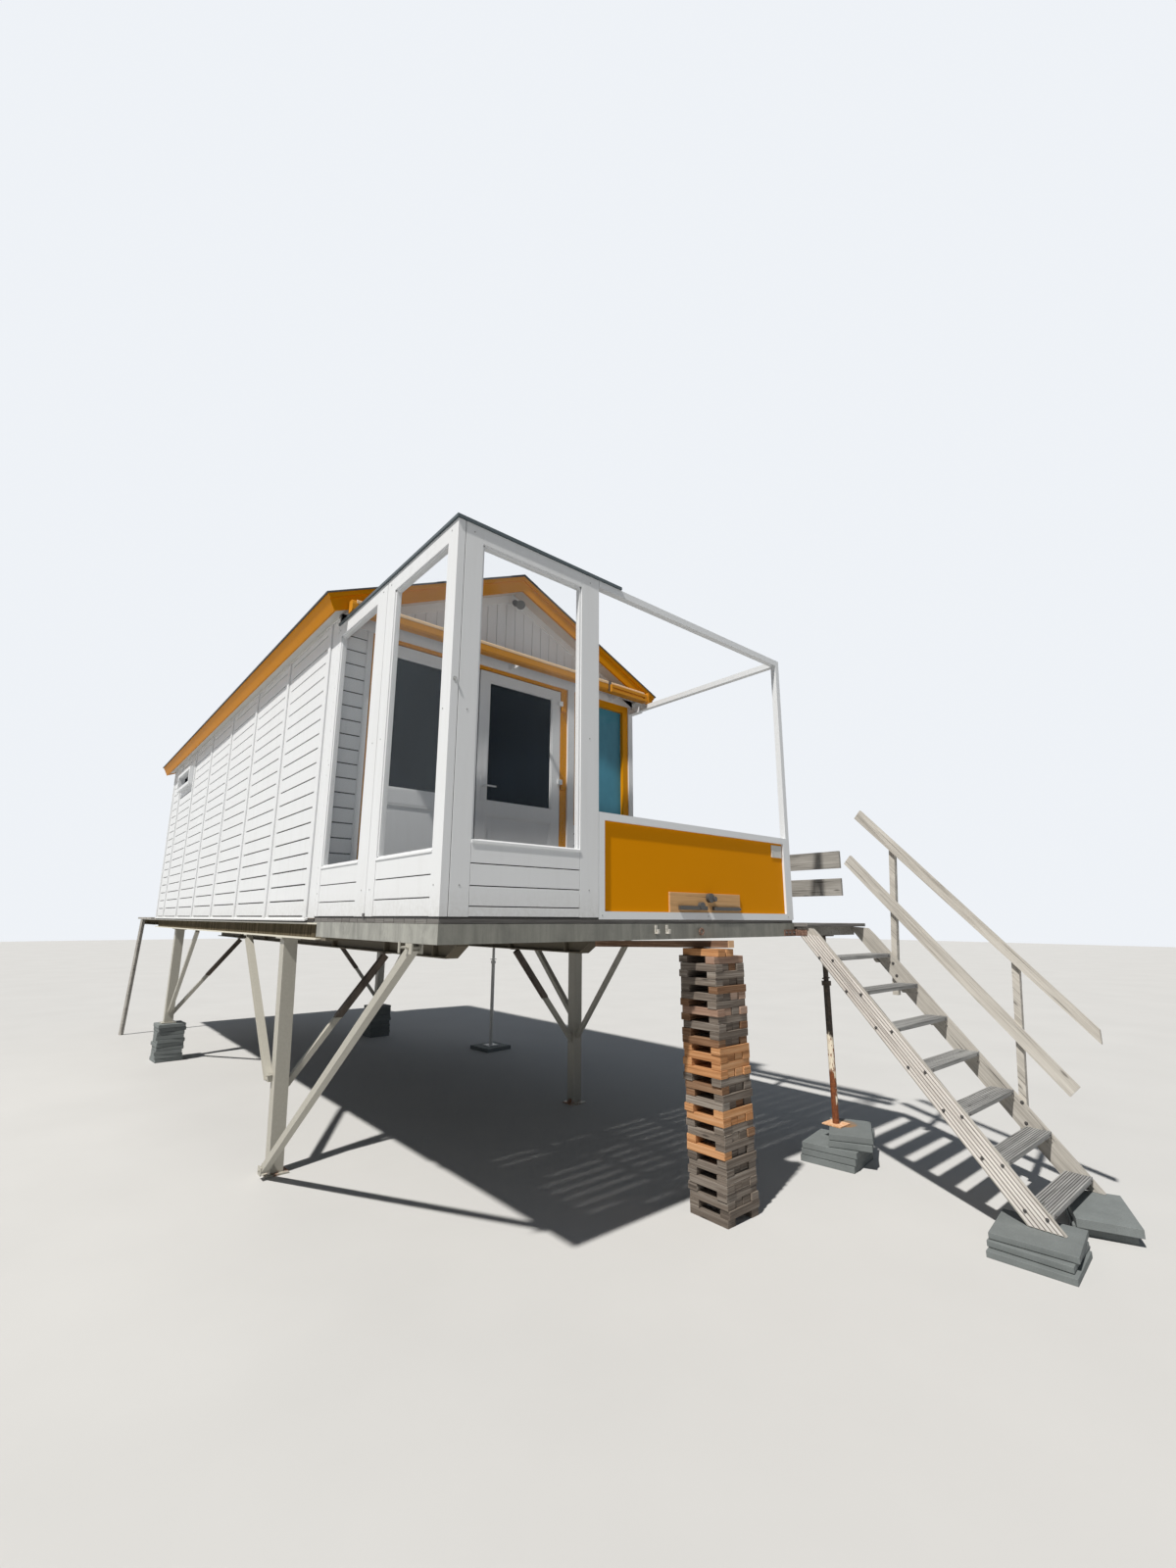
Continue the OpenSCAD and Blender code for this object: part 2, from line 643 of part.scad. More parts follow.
// Catch on the board: latch head, two short bolts and the long hasp
module balustrade_latch() color(darkgrey) place() {
    translate([1995, 5, deck + 142]) rotate([90, 0, 0]) cylinder(h = 26, d = 62);
    translate([2030, 5, deck + 136]) rotate([90, 0, 0]) cylinder(h = 32, d = 34);
    box([1690, -15, deck + 62], [1960, 5, deck + 88]);
    translate([1905, 5, deck + 88]) rotate([90, 0, 0]) cylinder(h = 24, d = 52);
    box([2030, -19, deck + 60], [2300, 5, deck + 84]);
    translate([2300, -7, deck + 72]) rotate([0, 90, 0]) cylinder(h = 22, d = 20);
}

module veranda_tubes() color(white) place() {
    box([panel_w, 0, deck + ver_h - tube], [ver_w, tube, deck + ver_h]);
    box([ver_w - tube, 0, deck], [ver_w, tube, deck + ver_h]);
    box([ver_w - tube, 0, deck + ver_h - tube], [ver_w, ver_d - 16, deck + ver_h]);
    // angle that carries the tube at the cabin wall
    box([ver_w - tube - 8, 1590, deck + ver_h - tube - 10], [ver_w + 6, ver_d - 16, deck + ver_h - tube + 1]);
    box([ver_w, 1590, deck + ver_h - tube - 10], [ver_w + 6, ver_d - 16, deck + ver_h + 26]);
}

// Walkway along the right side

walk_z1 = deck - 23;
walk_z0 = walk_z1 - plank;
joist_z0 = walk_z0 - 70;

module walkway_deck() color(greywood) place()
    box([ver_w + 5, -110, walk_z0], [walk_x, walk_y, walk_z1]);

module walkway_beams() color(greywood) place() {
    box([ver_w + 60, -5, joist_z0], [ver_w + 100, walk_y, walk_z0]);
    box([walk_x - 40, -5, joist_z0], [walk_x, walk_y, walk_z0]);
    for (y = [1900, 3600, 5270])
        box([ver_w, y, joist_z0 - 60], [walk_x, y + 60, joist_z0]);
    // landing beam behind the stringers
    box([3055, -5, joist_z0], [walk_x - 39, 40, walk_z0]);
}

module walkway_guard() color(greywood) place() {
    for (z = [2225, 1986]) box([walk_x, 80, z], [walk_x + 25, walk_y, z + 150]);
    for (y = [1300, 2450, 3600, 4750, walk_y - 60]) {
        box([walk_x + 25, y, joist_z0], [walk_x + 70, y + 45, 2375]);
        box([walk_x, y, joist_z0], [walk_x + 25, y + 45, walk_z0]);
    }
}

// Telescopic prop: base plate, outer tube, collar with its pin, inner tube and head plate
module prop(x, y, z0, z1, zc, dia) {
    box([x - 76, y - 76, z0], [x + 76, y + 76, z0 + 8]);
    translate([x, y, z0]) cylinder(h = zc - z0, d = dia);
    translate([x, y, zc - 30]) cylinder(h = 34, d = dia + 22);
    rod([x - dia, y, zc + 26], [x + dia, y, zc + 26], 12);
    translate([x, y, zc]) cylinder(h = z1 - zc, d = dia - 10);
    box([x - 60, y - 60, z1 - 8], [x + 60, y + 60, z1]);
}

module prop_front() color(rust) place() prop(3520, 60, 228, joist_z0, 1290, 50);

module prop_rear() color(galv) place() prop(3700, 5300, 50, joist_z0 - 60, 1180, 48);

module prop_slabs() color(slate) place() {
    for (i = [0 : 2]) slab([3449 + 5 * i, 30 - 4 * i, i * 45.6], 400, 400, 45.6, 8 + i);
    slab([3524, -62, 136.8], 440, 300, 45.6, 24);
    slab([3534, -48, 182.4], 440, 300, 45.6, 28);
    slab([3700, 5300, 0], 400, 400, 50, 5);
}

// Stair

module stringer(x0)
    along_x(x0, x0 + plank,
        [[-7, 1722], [-138, 1712], [-190, 1660], [-1522, 104], [-1342, 104], [-7, 1690]]);

// Cleat below the end of a tread, with its lower corners cut
module cleat(x, y, z)
    along_x(x, x + 24,
        [[y + 6, z], [y + 130, z], [y + 130, z - 26], [y + 112, z - 46], [y + 24, z - 46], [y + 6, z - 26]]);

module stair_stringers() color(greywood) place() {
    stringer(3027);
    stringer(walk_x - plank);
    for (i = [0 : 6]) {
        cleat(3027 + plank - 1, tread_y - i * going, tread_z - i * riser - plank);
        cleat(walk_x - plank - 23, tread_y - i * going, tread_z - i * riser - plank);
    }
}

// Grooved treads, each its own board
module stair_treads() color(greywood) place()
    for (i = [0 : 6])
        translate([3027 + plank, tread_y - i * going, tread_z - i * riser - plank])
            difference() {
                cube([walk_x - 3027 - 2 * plank, 145, plank]);
                for (k = [0 : 8]) translate([-1, 10 + k * 15, plank - 3]) cube([walk_x - 3027, 5, 4]);
            }

module rail(y0, z0, y1, z1, w, cut)
    along_x(walk_x - 28, walk_x, cut == 0
        ? [[y0, z0], [y1, z1], [y1 + 0.66 * w, z1 - 0.75 * w], [y0 + 0.66 * w, z0 - 0.75 * w]]
        : [[y0, z0], [y1, z1], [y1, z1 - cut], [y0 + 0.66 * w, z0 - 0.75 * w]]);

// Leaning post on the outer face of the stringer
module rail_post(y, z0, z1)
    along_x(walk_x, walk_x + 45,
        [[y - 45, z0], [y, z0], [y - 0.064 * (z1 - z0), z1], [y - 45 - 0.064 * (z1 - z0), z1]]);

module stair_handrail() color(greywood) place() {
    rail(-156, 2705, -1619, 1091, 84, 90);
    rail(-35, 2325, -1467, 716, 90, 0);
    rail_post(-288, 1190, 2380);
    rail_post(-1080, 270, 1500);
}

module stair_slabs() color(slate) place() {
    slab([2931, -1411, 0], 404, 404, 34.7, 4);
    slab([2966, -1400, 34.7], 390, 390, 34.7, 3);
    slab([3005, -1397, 69.4], 405, 405, 34.6, 7);
    slab([3690, -1510, 0], 500, 300, 52, 20);
    slab([3655, -1535, 52], 510, 310, 52, 22);
}

side_beams();
cross_members();
girders();
veranda_frame();
trim_fittings();
rear_platform();
leg_front_left();
leg_front_right();
leg_rear_left();
leg_rear_right();
rear_slabs();
crib_stack();
crib_beam();
cabin_floor();
wall_left();
wall_right();
wall_rear();
front_wall_left();
front_wall_right();
front_gable();
door_frame();
door_left();
door_right();
door_glass_left();
door_glass_right();
front_window_frame();
front_window_glass();
side_window_frame();
side_window_glass();
roof_panels();
roofing();
roof_edge_boards();
eave_soffits();
awning();
gable_lamp();
veranda_floor();
veranda_panels();
veranda_glass();
capping();
balustrade_frame();
balustrade_panel();
balustrade_latch();
veranda_tubes();
walkway_deck();
walkway_beams();
walkway_guard();
prop_front();
prop_rear();
prop_slabs();
stair_stringers();
stair_treads();
stair_handrail();
stair_slabs();
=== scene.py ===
# Looks, light and camera of the raised site cabin.
import math
import random
import bmesh
import bpy
from mathutils import Matrix, Vector


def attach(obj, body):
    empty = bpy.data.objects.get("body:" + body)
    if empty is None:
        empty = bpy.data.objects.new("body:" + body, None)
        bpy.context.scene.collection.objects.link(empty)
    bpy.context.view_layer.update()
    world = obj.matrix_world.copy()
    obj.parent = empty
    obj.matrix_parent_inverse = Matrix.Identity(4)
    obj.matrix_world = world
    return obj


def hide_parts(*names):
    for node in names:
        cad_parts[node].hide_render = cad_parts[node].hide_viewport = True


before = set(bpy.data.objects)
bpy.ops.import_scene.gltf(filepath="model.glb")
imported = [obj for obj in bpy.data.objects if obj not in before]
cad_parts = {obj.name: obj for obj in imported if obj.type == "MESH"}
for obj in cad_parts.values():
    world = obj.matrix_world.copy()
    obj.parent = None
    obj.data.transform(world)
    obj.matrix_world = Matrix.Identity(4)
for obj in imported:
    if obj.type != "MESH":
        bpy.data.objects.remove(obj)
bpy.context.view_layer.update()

random.seed(7433)

# Metres from the veranda's front left corner at ground level; the part's origin lies at OX, OY from there
OX, OY = 1.904, 4.183

# Height of the floor, front and rear face of the cabin, its width and the thickness of its walls
DECK = 1.775
CAB_Y0, CAB_Y1 = 1.743, 8.670
WIDTH = 3.0
MID_X = WIDTH / 2
WALL = 0.060

# Roof: height of the ridge, pitch, thickness, front and rear end, length of a slope
APEX = DECK + 3.010
PITCH = math.radians(24.3)
UNDER = 0.115
ROOF_Y0, ROOF_Y1 = CAB_Y0 - 0.172, CAB_Y1 + 0.090
SLOPE = 1.827

# Direction of the stair's slope: its parts along Y and Z
SLOPE_Y, SLOPE_Z = 0.66, 0.75


def roof_under(x):
    """Height of the roof's underside above x."""
    return APEX - UNDER / math.cos(PITCH) - abs(x - MID_X) * math.tan(PITCH)


def roof_point(side, s, v):
    """Point on the roof section, s down the slope and v below its top face."""
    x = MID_X + side * (s * math.cos(PITCH) - v * math.sin(PITCH))
    return (x, APEX - s * math.sin(PITCH) - v * math.cos(PITCH))


def scaled(colour, k):
    """Colour with each of its parts times k."""
    return tuple(c * k for c in colour)


# Mesh helpers

AXES = {"x": (1, 0, 0), "y": (0, 1, 0), "z": (0, 0, 1)}


def side_faces(n):
    """Faces between two rings of n points."""
    return [(i, (i + 1) % n, n + (i + 1) % n, n + i) for i in range(n)]


def end_faces(n):
    """Faces that close two rings of n points."""
    return [tuple(range(n)), tuple(range(2 * n - 1, n - 1, -1))]


class Shape:
    """Gathers boxes, prisms and rods into one mesh; each keeps a grain direction and a tint."""

    def __init__(self):
        self.verts = []
        self.faces = []
        self.grain = []
        self.tints = []
        self.smooth = []
        self.kinds = []
        self.kind = 0

    def add(self, pts, faces, along=(1, 0, 0), tint=0.5, move=None, smooth=False):
        """Adds faces; their grain runs along one direction, and end grain is marked."""
        pts = [Vector(p) for p in pts]
        along = Vector(along).normalized()
        side = Vector((0, 0, 1)) if abs(along.z) < 0.9 else Vector((1, 0, 0))
        across = along.cross(side).normalized()
        third = along.cross(across)
        base = len(self.verts)
        shift = tint * 7.3
        for f in faces:
            n = (pts[f[1]] - pts[f[0]]).cross(pts[f[2]] - pts[f[1]])
            n = n.normalized() if n.length > 1e-12 else along
            end = abs(n.dot(along)) > 0.7
            if end:
                u, v = across, third
            else:
                u, v = along, (across if abs(n.dot(across)) < abs(n.dot(third)) else third)
            stretch = 0.2 if end else 1.0
            for i in f:
                self.grain.append((pts[i].dot(u) * stretch + shift, pts[i].dot(v) + shift * 3.1))
                self.tints.append((tint, 1.0 if end else 0.0))
            self.faces.append([base + i for i in f])
            self.smooth.append(smooth)
            self.kinds.append(self.kind)
        for p in pts:
            q = move @ p if move else p
            self.verts.append((q.x - OX, q.y - OY, q.z))

    def box(self, a, b, along="x", tint=0.5, move=None):
        """Box between two opposite corners."""
        x0, y0, z0 = a
        x1, y1, z1 = b
        pts = [(x0, y0, z0), (x1, y0, z0), (x1, y1, z0), (x0, y1, z0),
               (x0, y0, z1), (x1, y0, z1), (x1, y1, z1), (x0, y1, z1)]
        faces = [(0, 3, 2, 1), (4, 5, 6, 7), (0, 1, 5, 4), (1, 2, 6, 5), (2, 3, 7, 6), (3, 0, 4, 7)]
        self.add(pts, faces, AXES[along], tint, move)

    def prism(self, poly, axis, c0, c1, along=None, tint=0.5):
        """Extrudes a polygon given in the upright plane across the axis x or y."""
        def at(p, c):
            return (c, p[0], p[1]) if axis == "x" else (p[0], c, p[1])
        n = len(poly)
        pts = [at(p, c0) for p in poly] + [at(p, c1) for p in poly]
        self.add(pts, end_faces(n) + side_faces(n), AXES[along or axis], tint)

    def rod(self, p, q, r0, r1=None, sides=16):
        """Round bar or cone from p to q."""
        p, q = Vector(p), Vector(q)
        r1 = r0 if r1 is None else r1
        d = (q - p).normalized()
        side = Vector((0, 0, 1)) if abs(d.z) < 0.9 else Vector((1, 0, 0))
        u = d.cross(side).normalized()
        w = d.cross(u)
        turns = [2 * math.pi * i / sides for i in range(sides)]
        spokes = [u * math.cos(t) + w * math.sin(t) for t in turns]
        pts = [p + c * r0 for c in spokes] + [q + c * r1 for c in spokes]
        self.add(pts, side_faces(sides), d, smooth=True)
        self.add(pts, end_faces(sides), d)

    def bolt(self, at, normal, r):
        """Washer with a domed head."""
        at, normal = Vector(at), Vector(normal)
        self.rod(at, at + normal * 0.0025, r * 1.7, r * 1.6, 14)
        self.rod(at + normal * 0.0025, at + normal * 0.008, r, r * 0.7, 12)

    def object(self, name, mat, body="building", nodes=(), slot=None, bevel=0.0, segments=1):
        """Makes the object, which rides on a body and may replace CAD nodes."""
        mesh = bpy.data.meshes.new(name)
        mesh.from_pydata(self.verts, [], self.faces)
        grain = mesh.uv_layers.new(name="grain")
        tints = mesh.uv_layers.new(name="tint")
        for i, uv in enumerate(self.grain):
            grain.data[i].uv = uv
            tints.data[i].uv = self.tints[i]
        for poly, flag, kind in zip(mesh.polygons, self.smooth, self.kinds):
            poly.use_smooth = flag
            poly.material_index = kind
        bm = bmesh.new()
        bm.from_mesh(mesh)
        bmesh.ops.recalc_face_normals(bm, faces=bm.faces)
        bm.to_mesh(mesh)
        bm.free()
        obj = bpy.data.objects.new(name, mesh)
        bpy.context.scene.collection.objects.link(obj)
        for m in (mat if isinstance(mat, (list, tuple)) else [mat]):
            obj.data.materials.append(m)
        if bevel:
            soften(obj, bevel, segments)
        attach(obj, body)
        if nodes:
            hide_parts(*nodes)
        return obj


def soften(obj, width, segments=1):
    """Takes the sharpness off an object's edges."""
    mod = obj.modifiers.new("arris", "BEVEL")
    mod.width = width
    mod.segments = segments
    mod.limit_method = "ANGLE"
    mod.angle_limit = math.radians(35)


def turn(angle, pivot):
    """Rotation by an angle in degrees about an upright line through a point."""
    p = Vector(pivot)
    return Matrix.Translation(p) @ Matrix.Rotation(math.radians(angle), 4, "Z") @ Matrix.Translation(-p)


# Material helpers

class Mat:
    """Principled material with short calls for its nodes."""

    def __init__(self, name, rough, specular):
        self.m = bpy.data.materials.new(name)
        self.m.use_nodes = True
        self.nt = self.m.node_tree
        self.p = self.nt.nodes["Principled BSDF"]
        self.p.inputs["Roughness"].default_value = rough
        self.p.inputs["Specular IOR Level"].default_value = specular

    def node(self, kind, inputs=None, **props):
        """New node with its settings and inputs."""
        n = self.nt.nodes.new("ShaderNode" + kind)
        for k, v in props.items():
            setattr(n, k, v)
        for k, v in (inputs or {}).items():
            self.feed(n.inputs[k], v)
        return n

    def feed(self, socket, value):
        """Links a socket, or sets its value."""
        if isinstance(value, bpy.types.NodeSocket):
            self.nt.links.new(value, socket)
        else:
            socket.default_value = value

    def split(self, vector):
        """The three parts of a vector."""
        s = self.node("SeparateXYZ", {"Vector": vector})
        return s.outputs["X"], s.outputs["Y"], s.outputs["Z"]

    def join(self, x, y, z):
        """Vector of three parts."""
        return self.node("CombineXYZ", {"X": x, "Y": y, "Z": z}).outputs["Vector"]

    def tint(self):
        """Tint of a board or block, from 0 to 1."""
        return self.split(self.node("UVMap", uv_map="tint").outputs["UV"])[0]

    def place(self):
        """X, Y and Z in the part's own frame."""
        return self.split(self.coord())

    def height(self):
        """Height above the ground."""
        return self.place()[2]

    def coord(self, kind="x"):
        """Vector in metres whose first part runs along the grain."""
        if kind == "uv":
            u, v, _ = self.split(self.node("UVMap", uv_map="grain").outputs["UV"])
            return self.join(u, v, self.mul(self.tint(), 37.0))
        obj = self.node("TexCoord").outputs["Object"]
        if kind == "x":
            return obj
        x, y, z = self.split(obj)
        if kind == "slope":
            along = self.add(self.mul(y, SLOPE_Y), self.mul(z, SLOPE_Z))
            across = self.sub(self.mul(y, SLOPE_Z), self.mul(z, SLOPE_Y))
            return self.join(along, across, x)
        return self.join(*{"y": (y, x, z), "z": (z, x, y)}[kind])

    def op(self, operation, a, b, clamp=False):
        """Arithmetic on two values."""
        n = self.node("Math", operation=operation, use_clamp=clamp)
        self.feed(n.inputs[0], a)
        self.feed(n.inputs[1], b)
        return n.outputs[0]

    def noise(self, vec, scale, detail=6.0, rough=0.6, distort=0.0):
        """Noise; scale is one number or one for each axis."""
        scale = scale if isinstance(scale, tuple) else (scale, scale, scale)
        m = self.node("Mapping", {"Vector": vec, "Scale": scale})
        n = self.node("TexNoise", {"Vector": m.outputs["Vector"], "Scale": 1.0, "Detail": detail,
                                   "Roughness": rough, "Distortion": distort})
        return n.outputs["Fac"]

    def mul(self, a, b, clamp=False):
        return self.op("MULTIPLY", a, b, clamp)

    def add(self, a, b):
        return self.op("ADD", a, b)

    def sub(self, a, b):
        return self.op("SUBTRACT", a, b)

    def above(self, a, b):
        return self.op("GREATER_THAN", a, b)

    def below(self, a, b):
        return self.op("LESS_THAN", a, b)

    def ramp(self, fac, stops):
        """Grey values or colours at the given stops."""
        n = self.node("ValToRGB", {"Fac": fac})
        cr = n.color_ramp
        while len(cr.elements) < len(stops):
            cr.elements.new(0.5)
        for e, (pos, col) in zip(cr.elements, stops):
            e.position = pos
            e.color = (col, col, col, 1) if isinstance(col, float) else (*col, 1)
        return n.outputs["Color"]

    def mix(self, fac, a, b, blend="MIX"):
        """Colour a turned into b by the share fac."""
        n = self.node("Mix", data_type="RGBA", blend_type=blend)
        self.feed(n.inputs[0], fac)
        self.feed(n.inputs[6], (*a, 1) if isinstance(a, tuple) else a)
        self.feed(n.inputs[7], (*b, 1) if isinstance(b, tuple) else b)
        return n.outputs[2]

    def fade(self, fac, low, high, a, b):
        """Colour a where fac is under low, b where it is over high."""
        return self.mix(self.ramp(fac, [(low, 0.0), (high, 1.0)]), a, b)

    def colour(self, value):
        """Sets the base colour."""
        self.feed(self.p.inputs["Base Color"], (*value, 1) if isinstance(value, tuple) else value)

    def bump(self, height, strength=0.3, distance=0.002):
        """Fine relief."""
        b = self.node("Bump", {"Height": height, "Strength": strength, "Distance": distance})
        self.feed(self.p.inputs["Normal"], b.outputs["Normal"])


def paint(name, base, worn, kind="x", wear=0.5, rough=0.45, low=None, relief=0.22, specular=0.4, behind=None):
    """Painted wood or metal: brush marks, rain streaks, worn spots; worn below low, white behind a depth."""
    m = Mat(name, rough, specular)
    v = m.coord(kind)
    obj = m.coord()
    broad = m.noise(obj, 1.4, 3.0)
    rain = m.noise(obj, (17, 17, 1.1), 5.0, 0.65)
    fibre = m.noise(v, (3.0, 70, 70), 5.0, 0.6)
    spots = m.noise(obj, 38, 4.0, 0.7)
    col = m.mix(m.ramp(broad, [(0.35, 0.0), (0.7, 0.35)]), base, scaled(base, 0.93))
    col = m.mix(m.mul(m.ramp(rain, [(0.5, 0.0), (0.78, 1.0)]), wear * 0.5), col, worn)
    col = m.mix(m.mul(m.ramp(spots, [(0.66, 0.0), (0.74, 1.0)]), wear * 0.8), col, worn)
    if low is not None:
        near = m.sub(low + 0.16, m.height())
        near = m.mul(near, 6.0, True)
        near = m.mul(near, m.ramp(spots, [(0.35, 0.2), (0.65, 1.0)]))
        col = m.mix(m.mul(near, 0.45), col, worn)
    if behind is not None:
        y = m.place()[1]
        col = m.mix(m.above(y, behind), col, WHITE)
    m.colour(col)
    m.bump(m.add(fibre, m.mul(spots, 0.5)), relief, 0.0012)
    rr = m.add(m.mul(spots, 0.25), rough - 0.1)
    m.feed(m.p.inputs["Roughness"], rr)
    return m.m


def timber(name, dark, mid, light, kind="uv", rough=0.8, shade=0.35, edge=None, cut=None):
    """Weathered timber with knots and checks; dark below the height edge; pale in front of cut, fresh-sawn
    wood and painted sunlight on the end that stands out.
    """
    m = Mat(name, rough, 0.25)
    v = m.coord(kind)
    fibre = m.noise(v, (2.2, 90, 90), 8.0, 0.7, 0.4)
    band = m.noise(v, (0.8, 11, 11), 4.0, 0.6, 0.8)
    wide = m.node("Mapping", {"Vector": v, "Scale": (3.4, 14, 14)}).outputs["Vector"]
    knot = m.node("TexVoronoi", {"Vector": wide, "Scale": 1.0}).outputs["Distance"]
    crack = m.noise(v, (1.1, 55, 55), 2.0, 0.5, 1.5)
    col = m.ramp(m.add(m.mul(fibre, 0.65), m.mul(band, 0.4)),
                 [(0.36, dark), (0.52, mid), (0.68, light)])
    col = m.mix(m.ramp(knot, [(0.06, 0.75), (0.13, 0.0)]), col, scaled(dark, 0.45))
    col = m.mix(m.ramp(crack, [(0.30, 0.8), (0.37, 0.0)]), col, scaled(dark, 0.4))
    if kind == "uv":
        col = m.mix(m.mul(m.sub(1.0, m.tint()), shade), col, dark)
    if edge is not None:
        col = m.mix(m.below(m.height(), edge), col, (0.05, 0.046, 0.042))
    # Pale in front of cut: fresh-sawn wood, and painted sunlight
    if cut is not None:
        y = m.place()[1]
        col = m.mix(m.below(y, cut), col, m.mix(band, (0.50, 0.27, 0.13), (0.80, 0.56, 0.36)))
    m.colour(col)
    m.bump(m.add(fibre, m.ramp(crack, [(0.30, 0.0), (0.37, 0.6)])), 0.5, 0.002)
    return m.m


def steel(name, base, rust, amount=0.4, foot=None, rough=0.5, streak=0.0, web=None, front=None):
    """Steel with rust below foot and in spots; brown grey between the web's heights, painted shade with
    grime; darker before front, painted shade with dirt.
    """
    m = Mat(name, rough, 0.45)
    obj = m.coord()
    fine = m.noise(obj, 55, 7.0, 0.7)
    patch = m.noise(obj, (5, 5, 3.2), 6.0, 0.68, 0.5)
    col = m.mix(m.ramp(fine, [(0.35, 0.3), (0.65, 0.0)]), base, scaled(base, 0.72))
    if streak:
        stain = m.noise(obj, (9, 9, 0.9), 7.0, 0.74, 0.5)
        stained = m.mul(m.ramp(stain, [(0.42, 0.0), (0.66, 1.0)]), streak)
        col = m.mix(stained, col, scaled(base, 0.3))
    if front is not None:
        # Front face darker: painted shade with dirt
        y = m.place()[1]
        col = m.mix(m.below(y, front), col, (0.66, 0.66, 0.64), "MULTIPLY")
        col = m.mix(m.ramp(patch, [(0.46, 0.0), (0.62, 0.5)]), col, scaled(base, 0.35))
    if web:
        z = m.height()
        inside = m.mul(m.above(z, web[0]), m.below(z, web[1]))
        run = m.noise(obj, (30, 30, 1.3), 6.0, 0.7)
        # Painted shade with grime on the web under the flange, and no specular there
        web_shade_and_grime = m.fade(run, 0.40, 0.62, (0.062, 0.052, 0.034), (0.15, 0.125, 0.088))
        col = m.mix(inside, col, web_shade_and_grime)
        m.feed(m.p.inputs["Specular IOR Level"], m.mul(m.sub(1.0, inside), 0.45))
    mask = m.add(m.mul(patch, 0.75), m.mul(fine, 0.3))
    if foot is not None:
        near = m.mul(m.sub(foot, m.height()), 0.9, True)
        mask = m.add(mask, near)
    rusty = m.ramp(mask, [(0.72 - 0.3 * amount, 0.0), (0.80 - 0.3 * amount, 1.0)])
    rustcol = m.ramp(fine, [(0.3, scaled(rust, 0.45)), (0.7, rust)])
    m.colour(m.mix(rusty, col, rustcol))
    m.feed(m.p.inputs["Roughness"], m.add(m.mul(rusty, 0.35), rough))
    m.bump(m.add(m.mul(fine, 0.5), m.mul(rusty, 0.6)), 0.3, 0.0015)
    return m.m


# Centre and radius of the rust stain on the highest slab, and place of the front prop beside it
STAIN_X, STAIN_Y, STAIN_R = 3.585, 0.030, 0.10247
PROP_X, PROP_Y = 3.520, 0.060

# The prop's longer cream strip faces along +X and -Y by these parts
STRIP_X, STRIP_Y = 0.759, 0.651


def stone(name, base):
    """Grey concrete paving with speckle, stains and pores, and rust beside the prop's foot."""
    m = Mat(name, 0.85, 0.3)
    obj = m.coord()
    grit = m.noise(obj, 220, 4.0, 0.7)
    stain = m.noise(obj, 7, 6.0, 0.65)
    pore = m.node("TexVoronoi", {"Vector": obj, "Scale": 120.0}).outputs["Distance"]
    col = m.fade(stain, 0.35, 0.7, base, scaled(base, 1.28))
    col = m.mix(m.ramp(grit, [(0.3, 0.55), (0.55, 0.0)]), col, scaled(base, 0.6))
    col = m.mix(m.ramp(pore, [(0.05, 0.5), (0.12, 0.0)]), col, scaled(base, 0.45))
    shade = m.mul(m.sub(1.0, m.tint()), 0.55)
    col = m.mix(shade, col, scaled(base, 0.62))
    x, y, z = m.place()
    dx = m.sub(x, STAIN_X - OX)
    dy = m.sub(y, STAIN_Y - OY)
    reach = m.sub(STAIN_R ** 2, m.add(m.mul(dx, dx), m.mul(dy, dy)))
    spill = m.mul(m.mul(reach, 260.0, True), m.ramp(stain, [(0.36, 0.35), (0.6, 1.0)]))
    spill = m.mul(spill, m.above(z, 0.2))
    col = m.mix(spill, col, (0.30, 0.15, 0.045))
    m.colour(col)
    m.bump(m.add(grit, m.mul(stain, 0.5)), 0.35, 0.0015)
    return m.m


def felt(name, base):
    """Mineral roofing felt."""
    m = Mat(name, 0.9, 0.25)
    obj = m.coord()
    grit = m.noise(obj, 320, 3.0, 0.8)
    broad = m.noise(obj, 1.2, 5.0, 0.6)
    col = m.fade(grit, 0.35, 0.65, scaled(base, 0.6), scaled(base, 1.5))
    col = m.mix(m.ramp(broad, [(0.4, 0.0), (0.7, 0.5)]), col, scaled(base, 1.25))
    m.colour(col)
    m.bump(grit, 0.4, 0.001)
    return m.m


def glass(name, body, alpha, shine):
    """Window pane: tinted body of the given opacity under a sharp reflection."""
    m = Mat(name, 0.04, 0.0)
    nt = m.nt
    smear = m.noise(m.coord(), (2.5, 2.5, 1.2), 4.0, 0.6)
    m.colour(m.fade(smear, 0.35, 0.75, body, tuple(c * 1.5 + 0.003 for c in body)))
    m.p.inputs["Alpha"].default_value = alpha
    fres = m.node("Fresnel", {"IOR": 1.5})
    gloss = m.node("BsdfGlossy", {"Color": (1, 1, 1, 1), "Roughness": 0.02})
    both = m.node("MixShader")
    nt.links.new(m.mul(fres.outputs["Fac"], shine), both.inputs[0])
    nt.links.new(m.p.outputs["BSDF"], both.inputs[1])
    nt.links.new(gloss.outputs["BSDF"], both.inputs[2])
    nt.links.new(both.outputs["Shader"], nt.nodes["Material Output"].inputs["Surface"])
    return m.m


